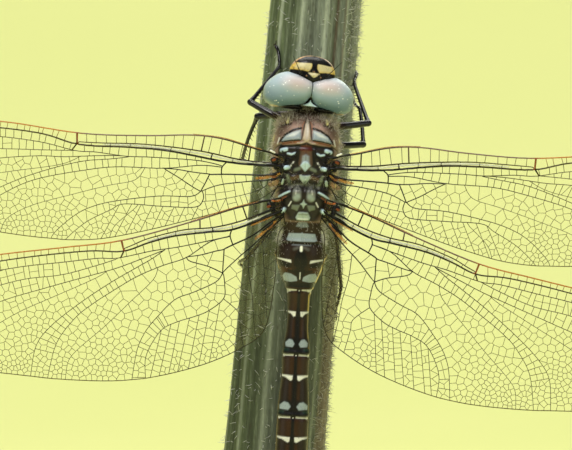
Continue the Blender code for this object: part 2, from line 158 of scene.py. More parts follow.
class Shade:
    """A finish being made: one Principled BSDF and the nodes that feed it."""

    def __init__(self, name: str, constants: dict[str, float | tuple]) -> None:
        """Starts the material.

        Args:
            name: the material's name.
            constants: what is the same all over the surface, by the shader's socket.
        """
        self.material = bpy.data.materials.new(name)
        self.material.use_nodes = True
        self.tree = self.material.node_tree
        self.shader = self.tree.nodes["Principled BSDF"]
        for socket, value in constants.items():
            self.shader.inputs[socket].default_value = value

    def add(self, kind: str, settings: dict, sockets: dict, output: int | str = 0) -> Sock:
        """Adds one node.

        Args:
            kind: the node's type, without ShaderNode.
            settings: its settings, set first; "stops" are a ramp's places and colours.
            sockets: values or links of its inputs, by name or place.
            output: the output to use.

        Returns:
            That output.
        """
        node = self.tree.nodes.new("ShaderNode" + kind)
        for key, value in settings.items():
            if key == "stops":
                while len(node.color_ramp.elements) < len(value):
                    node.color_ramp.elements.new(1.0)
                for element, (place, colour) in zip(node.color_ramp.elements, value):
                    element.position = place
                    element.color = (*colour, 1.0)
            else:
                setattr(node, key, value)
        for key, value in sockets.items():
            self.feed(node.inputs[key], value)
        return Sock(self, node.outputs[output])

    def feed(self, socket: bpy.types.NodeSocket, value: Sock | float | tuple) -> None:
        """Links or sets one input.

        Args:
            socket: the input.
            value: a shader value to link, or a plain one to set.
        """
        if isinstance(value, Sock):
            self.tree.links.new(value.socket, socket)
        else:
            socket.default_value = value

    def paint(self, output: str = "Color") -> Sock:
        """The colour, or with "Alpha" the cover, that the mesh carries at each point."""
        return self.add("Attribute", {"attribute_name": "paint"}, {}, output)

    def place(self, stretch: Triple = (1.0, 1.0, 1.0)) -> Sock:
        """The point's place in the piece's own frame, in millimetres, stretched along each axis.

        Args:
            stretch: how much it is stretched along each axis.

        Returns:
            The place.
        """
        own = self.add("TexCoord", {}, {}, "Object")
        scale = tuple(s / MM for s in stretch)
        return self.add("VectorMath", {"operation": "MULTIPLY"}, {0: own, 1: scale})

    def axes(self) -> tuple[Sock, Sock, Sock]:
        """The three parts of the point's place, in millimetres."""
        split = self.add("SeparateXYZ", {}, {0: self.place()})
        outputs = split.socket.node.outputs
        return tuple(Sock(self, socket) for socket in outputs)

    def noise(self, scale: float, detail: float = 3.0, stretch: tuple = (1.0, 1.0, 1.0)) -> Sock:
        """Cloudy noise from 0 to 1, with about scale cells to the millimetre."""
        sockets = {"Vector": self.place(stretch), "Scale": scale, "Detail": detail}
        return self.add("TexNoise", {}, sockets)

    def cells(self, scale: float, feature: str = "F1", stretch: tuple = (1.0, 1.0, 1.0)) -> Sock:
        """Distance within a cellular pattern of about scale cells to the millimetre."""
        sockets = {"Vector": self.place(stretch), "Scale": scale}
        return self.add("TexVoronoi", {"feature": feature}, sockets)

    def ease(self, value: Sock, low: float, high: float) -> Sock:
        """0 below low and 1 above high, smooth between."""
        sockets = {0: value, 1: low, 2: high}
        return self.add("MapRange", {"interpolation_type": "SMOOTHSTEP"}, sockets)

    def mix(self, share: Sock | float, first: Sock | tuple, second: Sock | tuple) -> Sock:
        """The first colour where the share is 0 and the second where it is 1."""
        first, second = (c if isinstance(c, Sock) else (*c, 1.0) for c in (first, second))
        return self.add("Mix", {"data_type": "RGBA"}, {0: share, 6: first, 7: second}, 2)

    def toned(self, colour: Sock, value: Sock) -> Sock:
        """The colour made darker or lighter by a value round 1."""
        return self.add("HueSaturation", {}, {"Value": value, "Color": colour})

    def finish(
        self, colour: Sock, rough: Sock, height: Sock, depth: float, strength: float = 1.0
    ) -> Material:
        """Feeds what varies into the shader.

        Args:
            colour: the surface's colour.
            rough: its roughness.
            height: its fine relief, from 0 to 1.
            depth: what a height of 1 stands for, in millimetres.
            strength: how much of the relief shows.

        Returns:
            The finished material.
        """
        self.feed(self.shader.inputs["Base Color"], colour)
        self.feed(self.shader.inputs["Roughness"], rough)
        relief = {"Height": height, "Distance": depth * MM, "Strength": strength}
        self.feed(self.shader.inputs["Normal"], self.add("Bump", {}, relief))
        return self.material


@dataclass(frozen=True)
class ShellFinish:
    """Horny shell in the colours that the mesh carries: satin, finely pitted and unevenly toned."""

    name: str
    rough: float = 0.4
    uneven: float = 0.35
    grain: float = 9.0
    pit_depth: float = 0.02
    coat: float = 0.12
    sheen: float = 0.18

    def make(self) -> Material:
        """The finished material."""
        constants = {"Coat Weight": self.coat, "Coat Roughness": 0.12, "Specular IOR Level": self.sheen}
        shade = Shade(self.name, constants)
        clouds = shade.noise(1.6, 4.0)
        grain = shade.noise(self.grain, 3.0)
        tone = (clouds - 0.5) * self.uneven + (grain - 0.5) * self.uneven + 1.0
        colour = shade.toned(shade.paint(), tone)
        pits = shade.cells(self.grain * 0.9)
        rough = (grain - 0.5) * 0.3 + (clouds - 0.5) * 0.15 + self.rough
        return shade.finish(colour, rough, grain * 0.6 + pits * 0.4, self.pit_depth)


@dataclass(frozen=True)
class EyeFinish:
    """Compound eye: grey-teal with a painted pinkish sheen, deeper teal and painted shade at the rim, over
    fine round facets.
    """

    name: str = "eye_facets"
    painted_sheen_place: Triple = (1.55, 0.55, 2.85)
    painted_sheen_reach: float = 2.0
    facets: float = 26.0

    def make(self) -> Material:
        """The finished material."""
        constants = {"Coat Weight": 0.06, "Coat Roughness": 0.3, "Specular IOR Level": 0.28}
        shade = Shade(self.name, constants)
        x, y, z = shade.axes()
        across = abs(x) - self.painted_sheen_place[0]
        along = y - self.painted_sheen_place[1]
        up = z - self.painted_sheen_place[2]
        far = (across * across * 0.6 + along * along * 2.2 + up * up * 0.4) ** 0.5
        # Painted highlight: a broad pinkish sheen on the upper front of each eye.
        painted_sheen = 1 - shade.ease(far, 0.1, self.painted_sheen_reach)
        # Deeper, darker teal towards the rear rim: partly the eye's own colour, partly painted shade.
        rear = 1 - shade.ease(y, -1.9, 0.5)
        under = 1 - shade.ease(z, -1.4, 1.4)
        clouds = shade.noise(0.9, 2.0)
        colour = shade.mix(rear * 0.9, linear(158, 176, 184), linear(72, 100, 124))
        colour = shade.mix(painted_sheen * (clouds * 0.3 + 0.7), colour, linear(190, 170, 164))
        colour = shade.mix(under * 0.7, colour, linear(146, 150, 128))
        dust = shade.cells(3.2)
        speck = 1 - shade.ease(dust, 0.15, 0.25)
        speck = speck * shade.ease(shade.noise(1.7, 1.0), 0.5, 0.56)
        colour = shade.mix(speck * 0.85, colour, linear(240, 242, 240))
        facet = shade.cells(self.facets)
        colour = shade.toned(colour, 1.06 - facet * 0.16)
        rough = speck * 0.3 + clouds * 0.12 + 0.36
        return shade.finish(colour, rough, 1 - facet, 0.004, 0.6)


@dataclass(frozen=True)
class TwoToneFinish:
    """A plain surface that drifts between two colours in clouds, with a grain that may be its own.

    Clouds and grain are the scale, detail and stretch of their noise. The roughness is the grain times
    the first number and the second added.
    """

    name: str
    first: Triple
    second: Triple
    clouds: Pair
    rough: Pair
    depth: float
    constants: dict[str, float]
    grain: tuple[float, float, Triple] | None = None

    def make(self) -> Material:
        """The finished material."""
        shade = Shade(self.name, self.constants)
        clouds = shade.noise(*self.clouds)
        grain = shade.noise(*self.grain) if self.grain else clouds
        colour = shade.mix(clouds, self.first, self.second)
        return shade.finish(colour, grain * self.rough[0] + self.rough[1], grain, self.depth)


BEAD = TwoToneFinish(
    "ocellus_bead", linear(60, 30, 14), linear(150, 110, 70), (3.0, 2.0), (0.1, 0.08), 0.004,
    {"Coat Weight": 0.8, "Coat Roughness": 0.05},
)
STEEL = TwoToneFinish(
    "turned_steel", linear(176, 178, 182), linear(206, 207, 209), (0.7, 3.0), (0.2, 0.22), 0.01,
    {"Metallic": 1.0}, (9.0, 2.0, (0.05, 0.05, 1.0)),
)
FLOOR = TwoToneFinish(
    "studio_floor", linear(227, 233, 154), linear(237, 238, 168), (0.004, 2.0), (0.05, 0.85), 0.01,
    {"Specular IOR Level": 0.1},
)


@dataclass(frozen=True)
class FilmFinish:
    """The wings' clear film: faintly yellow, glossy, and rippled from cell to cell."""

    name: str = "wing_film"

    def make(self) -> Material:
        """The finished material."""
        shade = Shade(self.name, {"Specular IOR Level": 0.6})
        clouds = shade.noise(0.8, 3.0)
        ripple = shade.noise(2.5, 2.0)
        colour = shade.toned(shade.paint(), clouds * 0.3 + 0.85)
        cover = shade.paint("Alpha") * (clouds * 0.8 + 0.6)
        shade.feed(shade.shader.inputs["Alpha"], cover)
        return shade.finish(colour, ripple * 0.15 + 0.1, ripple, 0.03)


@dataclass(frozen=True)
class HairFinish:
    """Fine hairs in the colours that the mesh carries."""

    name: str
    rough: float = 0.5

    def make(self) -> Material:
        """The finished material."""
        shade = Shade(self.name, {"Specular IOR Level": 0.4})
        clouds = shade.noise(1.2, 2.0)
        colour = shade.toned(shade.paint(), clouds * 0.5 + 0.75)
        return shade.finish(colour, clouds * 0.2 + self.rough, clouds, 0.004)


@dataclass(frozen=True)
class StemFinish:
    """A ribbed green stem turning brown: fibres along it, freckles, scars and a dull waxy skin."""

    name: str = "stem_skin"

    def make(self) -> Material:
        """The finished material."""
        shade = Shade(self.name, {"Specular IOR Level": 0.35})
        fibres = shade.noise(4.0, 4.0, (1.0, 1.0, 0.05))
        fine = shade.noise(12.0, 3.0, (1.0, 1.0, 0.1))
        clouds = shade.noise(0.35, 4.0, (1.0, 1.0, 0.3))
        mottle = shade.noise(1.9, 4.0, (1.0, 1.0, 0.6))
        freckles = shade.cells(2.0, stretch=(1.0, 1.0, 0.4))
        speck = (1 - shade.ease(freckles, 0.1, 0.32)) * shade.ease(clouds, 0.42, 0.6)
        tone = (fibres - 0.5) * 1.1 + (fine - 0.5) * 0.8 + (clouds - 0.5) * 0.6 + (mottle - 0.5) * 0.5 + 1.0
        colour = shade.toned(shade.paint(), tone)
        colour = shade.mix(speck * 0.5, colour, linear(52, 46, 34))
        pale = shade.ease(fine * 0.5 + fibres * 0.5, 0.56, 0.68)
        colour = shade.mix(pale * 0.3, colour, linear(150, 156, 138))
        rough = fibres * 0.2 + 0.55
        return shade.finish(colour, rough, fibres * 0.6 + fine * 0.4, 0.14)


@dataclass(frozen=True)
class PithFinish:
    """The stem's cut ends: pale pith, ringed and full of small pores."""

    name: str = "stem_pith"

    def make(self) -> Material:
        """The finished material."""
        shade = Shade(self.name, {"Specular IOR Level": 0.2})
        pores = shade.cells(4.0)
        clouds = shade.noise(0.8, 4.0)
        colour = shade.mix(clouds, linear(196, 190, 150), linear(160, 150, 104))
        colour = shade.mix(1 - shade.ease(pores, 0.1, 0.4), colour, linear(120, 104, 66))
        return shade.finish(colour, clouds * 0.2 + 0.7, pores, 0.08)


@dataclass(frozen=True)
class WoodFinish:
    """Dark stained hardwood under a satin varnish, with its grain across the base."""

    name: str = "stained_hardwood"

    def make(self) -> Material:
        """The finished material."""
        shade = Shade(self.name, {"Coat Weight": 0.3, "Coat Roughness": 0.25})
        bands = shade.noise(0.32, 5.0, (0.12, 1.0, 1.0))
        pores = shade.noise(3.0, 3.0, (0.05, 1.0, 1.0))
        dark = shade.ease(bands, 0.38, 0.62)
        colour = shade.mix(dark, linear(74, 44, 28), linear(112, 70, 42))
        colour = shade.toned(colour, pores * 0.6 + 0.7)
        rough = bands * 0.15 + pores * 0.1 + 0.3
        return shade.finish(colour, rough, bands * 0.3 + pores * 0.7, 0.04)


# ----- meshes and marks


def smooth_curve(points: list[tuple] | Array, samples: int, closed: bool = False) -> Array:
    """A Catmull-Rom curve.

    Args:
        points: the points that it runs through.
        samples: steps between two of them.
        closed: whether it returns to its start.

    Returns:
        The curve's points, one in each row.
    """
    given = np.asarray(points, float)
    if closed:
        padded = np.vstack([given[-1:], given, given[:2]])
    else:
        padded = np.vstack([given[:1], given, given[-1:]])
    curve = []
    for a, b, c, d in zip(padded, padded[1:], padded[2:], padded[3:]):
        t = (np.arange(samples) / samples)[:, None]
        bend = (2 * a - 5 * b + 4 * c - d) * t**2 + (3 * b - a - 3 * c + d) * t**3
        curve.append(b + ((c - a) * t + bend) / 2)
    if not closed:
        curve.append(given[-1:])
    return np.vstack(curve)


def ease(value: Array | float, low: float, high: float) -> Array:
    """0 below low and 1 above high, smooth between; low may be the larger of the two."""
    t = np.clip((np.asarray(value, float) - low) / (high - low), 0.0, 1.0)
    return t * t * (3 - 2 * t)


def hump(value: Array, middle: float, reach: float) -> Array:
    """1 at the middle, falling smoothly to 0 at that reach on both sides."""
    return ease(np.abs(value - middle), reach, 0.0)


def circle(count: int) -> Array:
    """The angles of that many even steps round a circle."""
    return math.tau * np.arange(count) / count


def stacked(*parts: Array) -> Array:
    """Points from their parts along each axis."""
    return np.stack(parts, axis=-1)


def unit(vectors: Array) -> Array:
    """The vectors made one long."""
    return vectors / np.maximum(np.linalg.norm(vectors, axis=-1, keepdims=True), 1e-9)


def rgb(colour: Tint | Triple | Array) -> Array:
    """A tint, a colour or many colours as an array."""
    return np.asarray(colour.value if isinstance(colour, Tint) else colour, float)


def blend(colours: Tint | Triple | Array, other: Tint | Triple, share: Array | float) -> Array:
    """The colours moved towards another by that share."""
    start = rgb(colours)
    return start + (rgb(other) - start) * share


def placed(name: str, data: bpy.types.ID) -> bpy.types.Object:
    """A new object of the scene.

    Args:
        name: its name.
        data: its mesh, camera or light.

    Returns:
        The object.
    """
    made = bpy.data.objects.new(name, data)
    bpy.context.scene.collection.objects.link(made)
    return made


class Draft:
    """The points, faces, paint and coat map of one mesh, in millimetres."""

    def __init__(self) -> None:
        """Starts an empty mesh."""
        self.points: list[Array] = []
        self.paint: list[Array] = []
        self.maps: list[Array] = []
        self.faces: list[list[int]] = []
        self.count = 0

    def add(self, points: Array, faces: list, colour: Tint | tuple | Array) -> None:
        """Adds points and the faces between them.

        Args:
            points: one point in each row.
            faces: point numbers within these points.
            colour: one colour, with or without a cover, or one for each point.
        """
        points = np.asarray(points, float).reshape(-1, 3)
        colour = np.atleast_2d(rgb(colour))
        if colour.shape[1] == 3:
            colour = np.hstack([colour, np.ones((len(colour), 1))])
        self.points.append(points)
        self.paint.append(np.broadcast_to(colour, (len(points), 4)))
        self.faces.extend([i + self.count for i in face] for face in faces)
        self.count += len(points)

    def add_rows(self, rows: Array, colour: Tint | tuple | Array, caps: bool = True) -> None:
        """Adds a closed tube through rows of points.

        Args:
            rows: rings of equal count, as an array of rings by points by 3.
            colour: one colour, or one for each point.
            caps: whether the two ends are closed.
        """
        count, around = rows.shape[:2]
        i = np.arange(count - 1)[:, None] * around
        j = np.arange(around)[None, :]
        k = (j + 1) % around
        quads = stacked(i + j, i + k, i + around + k, i + around + j).reshape(-1, 4)
        points = rows.reshape(-1, 3)
        colour = np.atleast_2d(rgb(colour))
        colour = np.broadcast_to(colour, (len(points), colour.shape[1]))
        faces = quads.tolist()
        if caps:
            last = count * around
            ends = np.array([rows[0].mean(0), rows[-1].mean(0)])
            points = np.vstack([points, ends])
            colour = np.vstack([colour, colour[0], colour[-1]])
            turn = np.arange(around)
            faces += [[last, (t + 1) % around, t] for t in turn]
            base = last - around
            faces += [[last + 1, base + t, base + (t + 1) % around] for t in turn]
        self.add(points, faces, colour)

    def add_tube(
        self,
        path: Array,
        radii: Array | list,
        sides: int,
        colour: Tint | tuple | Array,
        flat: float = 1.0,
        side: Triple = (0.3, 0.2, 0.9),
    ) -> None:
        """Adds a round tube with rounded ends.

        Args:
            path: its middle line.
            radii: its radius at each point of the path.
            sides: points around it.
            colour: one colour, or one for each point of the path.
            flat: how thick it is for its width.
            side: the direction that its width keeps closest to.
        """
        path = np.asarray(path, float)
        radii = np.asarray(radii, float)
        along = unit(np.gradient(path, axis=0))
        starts = path[0] - along[0] * radii[0] * 0.5
        stops = path[-1] + along[-1] * radii[-1] * 0.5
        path = np.vstack([starts, path, stops])
        radii = np.concatenate([radii[:1] * 0.6, radii, radii[-1:] * 0.6])
        along = np.vstack([along[:1], along, along[-1:]])
        across = unit(side - along * (along @ np.asarray(side))[:, None])
        over = np.cross(along, across)
        turn = circle(sides)
        c, s = np.cos(turn)[None, :, None], np.sin(turn)[None, :, None]
        rings = path[:, None] + (across[:, None] * c + over[:, None] * s * flat) * radii[:, None, None]
        colour = np.atleast_2d(rgb(colour))
        if len(colour) > 1:
            colour = np.repeat(np.vstack([colour[:1], colour, colour[-1:]]), sides, axis=0)
        self.add_rows(rings, colour)

    def add_blob(
        self,
        centre: tuple | Array,
        semi: tuple | Array,
        colour: Tint | tuple,
        power: float = 2.0,
        detail: int = 16,
    ) -> None:
        """Adds an ellipsoid, squarer for a power above 2, with twice its detail points around.

        Args:
            centre: its middle.
            semi: its half sizes along the axes.
            colour: its colour.
            power: its squareness.
            detail: half the points around it.
        """
        lat = math.pi * (np.arange(1, detail) / detail - 0.5)
        lon = circle(2 * detail)
        flat = np.cos(lat)[:, None]
        ball = stacked(flat * np.cos(lon), np.sin(-lat)[:, None] * np.ones_like(lon), flat * np.sin(lon))
        reach = (np.abs(ball) ** power).sum(-1, keepdims=True) ** (-1 / power)
        self.add_rows(ball * reach * np.asarray(semi) + np.asarray(centre), colour)

    def build(
        self,
        name: str,
        material: Material,
        matrix: Matrix | None = None,
        slot: str | None = None,
        replaces: tuple[str, ...] = (),
    ) -> bpy.types.Object:
        """Turns the draft into a piece that rides on the body.

        Args:
            name: the piece's name.
            material: its finish.
            matrix: the frame that the points are in, or None for the world's.
            slot: the record's material slot; not used.
            replaces: the solids that the piece stands for.

        Returns:
            The piece.
        """
        mesh = bpy.data.meshes.new(name)
        points = np.vstack(self.points) * MM
        mesh.from_pydata(points.tolist(), [], self.faces)
        paint = mesh.color_attributes.new("paint", "FLOAT_COLOR", "POINT")
        paint.data.foreach_set("color", np.vstack(self.paint).astype(np.float32).ravel())
        if self.maps:
            corners = np.empty(len(mesh.loops), np.int32)
            mesh.loops.foreach_get("vertex_index", corners)
            layer = mesh.uv_layers.new(name="OFBake")
            layer.data.foreach_set("uv", np.vstack(self.maps)[corners].astype(np.float32).ravel())
        mesh.shade_smooth()
        mesh.materials.append(material)
        piece = placed(name, mesh)
        if matrix is not None:
            piece.matrix_world = matrix
        bpy.context.view_layer.update()
        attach(piece, BODY)
        if replaces:
            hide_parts(*replaces)
        log.info("%s: %d points, %d faces", name, len(points), len(self.faces))
        return piece


class Face(Enum):
    """Which way a mark faces, as the two axes of its outline and the axis that it is seen along."""

    BACK = (0, 1, 2)
    SIDE = (1, 2, 0)
    FRONT = (0, 2, 1)


@dataclass(frozen=True)
class Mark:
    """A patch of colour on the shell, from a rounded outline.

    One point makes a round spot, two a bar, and three or more a patch with that outline. A closed
    outline is filled.
    """

    outline: Outline
    tint: Tint
    round: float = 0.0
    soft: float = 0.06
    strength: float = 1.0
    lift: float = 0.0
    face: Face = Face.BACK
    line: bool = False
    mirrored: bool = True

    def distance(self, flat: Array) -> Array:
        """How far points lie outside the mark, in the outline's own plane.

        Args:
            flat: places in that plane.

        Returns:
            One distance for each place, below 0 inside the mark.
        """
        corners = np.asarray(self.outline, float)
        filled = len(corners) > 2 and not self.line
        pairs = list(zip(corners, corners[1:])) or [(corners[0], corners[0])]
        if filled:
            pairs.append((corners[-1], corners[0]))
        nearest = np.full(len(flat), np.inf)
        inside = np.zeros(len(flat), bool)
        for a, b in pairs:
            edge = b - a
            share = np.clip((flat - a) @ edge / max(edge @ edge, 1e-9), 0.0, 1.0)
            gap = flat - a - share[:, None] * edge
            nearest = np.minimum(nearest, np.hypot(gap[:, 0], gap[:, 1]))
            if filled:
                spans = (a[1] > flat[:, 1]) != (b[1] > flat[:, 1])
                rise = edge[1] if abs(edge[1]) > 1e-9 else 1e-9
                inside ^= spans & (flat[:, 0] < a[0] + edge[0] * (flat[:, 1] - a[1]) / rise)
        return np.where(inside, -nearest, nearest) - self.round

    def cover(self, points: Array, facing: Array, blur: float = 1.0) -> Array:
        """How much of each point the mark covers, from 0 to 1.

        Args:
            points: places in the insect's frame.
            facing: the surface's normals there.
            blur: how many times softer its edge is made.

        Returns:
            One share for each point.
        """
        first, second, seen = self.face.value
        flat = points[:, (first, second)].copy()
        if self.face is Face.SIDE:
            shown = np.abs(facing[:, 0]) > 0.3
        else:
            flat[:, 0] = np.abs(flat[:, 0]) if self.mirrored else flat[:, 0]
            shown = facing[:, seen] > (0.0 if self.face is Face.BACK else -2.0)
        corners = np.asarray(self.outline, float)
        edge = self.round + self.soft * blur
        near = np.all((flat > corners.min(0) - edge) & (flat < corners.max(0) + edge), axis=1) & shown
        cover = np.zeros(len(points))
        cover[near] = ease(self.distance(flat[near]), self.soft * blur, -self.soft * blur)
        return cover


def painted(points: Array, facing: Array, ground: Array, marks: list[Mark]) -> Array:
    """The ground colours with the marks laid over them in order.

    Args:
        points: places, in the insect's frame.
        facing: the surface's normals there.
        ground: the colours below the marks.
        marks: the marks, the lowest first.

    Returns:
        One colour for each point.
    """
    colours = ground
    for mark in marks:
        colours = blend(colours, mark.tint, mark.cover(points, facing)[:, None] * mark.strength)
    return colours


def lifted(points: Array, facing: Array, marks: list[Mark]) -> Array:
    """How far the marks raise the surface, in millimetres.

    Args:
        points: places, in the insect's frame.
        facing: the surface's normals there.
        marks: the marks, the lowest first.

    Returns:
        One height for each point.
    """
    height = np.zeros(len(points))
    for mark in marks:
        if mark.lift:
            height += mark.cover(points, facing, 2.5) * mark.lift
    return height


# ----- where the insect is


@dataclass(frozen=True)
class InsectFrame:
    """The insect's own frame, found from the solids of its trunk.

    The lean comes from the line through the middles of two abdomen rings, and the place from the first
    ring and the thorax, whose middles lie this far from the waist.
    """

    first_ring_below_waist: float = 1.6
    thorax_middle_back: float = -0.25
    head_ahead: Triple = (0.0, 12.75, 0.1)
    head_roll: float = 8.0
    head_yaw: float = -4.6

    @staticmethod
    def middle(node: str) -> Vector:
        """The mean of a solid's points, in millimetres."""
        points = {tuple(vertex.co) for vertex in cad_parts[node].data.vertices}
        return Vector(np.mean(sorted(points), axis=0)) / MM

    def lean(self) -> float:
        """How far the body leans to its right, in radians."""
        up = self.middle("abdomen_3") - self.middle("abdomen_8")
        return math.atan2(up.x, up.z)

    def trunk(self) -> Matrix:
        """The trunk's frame, as a matrix in metres."""
        lean = self.lean()
        low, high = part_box("thorax")
        waist = self.middle("abdomen_1")
        waist += Vector((math.sin(lean), 0.0, math.cos(lean))) * self.first_ring_below_waist
        waist.y = (low.y + high.y) / 2 / MM + self.thorax_middle_back
        upright = Matrix.Rotation(math.radians(90), 4, "X")
        return Matrix.Translation(waist * MM) @ Matrix.Rotation(lean, 4, "Y") @ upright

    def head(self) -> Matrix:
        """The head's frame, as a matrix in metres."""
        yaw = Matrix.Rotation(math.radians(self.head_yaw), 4, "Z")
        roll = Matrix.Rotation(math.radians(self.head_roll), 4, "Y")
        return self.trunk() @ Matrix.Translation(Vector(self.head_ahead) * MM) @ yaw @ roll


def middle_line(node: str, near: Array | None = None) -> Array:
    """The middle line of a rod-like solid, as its two ends and its middle.

    Args:
        node: the solid.
        near: a point that the first end is the nearer to, in millimetres.

    Returns:
        Three points in millimetres.
    """
    points = np.array([vertex.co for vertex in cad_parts[node].data.vertices]) / MM
    centre = (points.max(0) + points.min(0)) / 2
    axis = np.linalg.svd(points - points.mean(0), full_matrices=False)[2][0]
    along = (points - centre) @ axis
    along = (along - along.min()) / (along.max() - along.min())
    line = []
    for low, high in ((0.0, 0.2), (0.3, 0.7), (0.8, 1.0)):
        here = points[(along >= low) & (along <= high)]
        line.append((here.max(0) + here.min(0)) / 2 if len(here) else centre)
    line = np.array(line)
    if near is not None and np.linalg.norm(line[0] - near) > np.linalg.norm(line[-1] - near):
        line = line[::-1]
    return line


# ----- trunk and abdomen


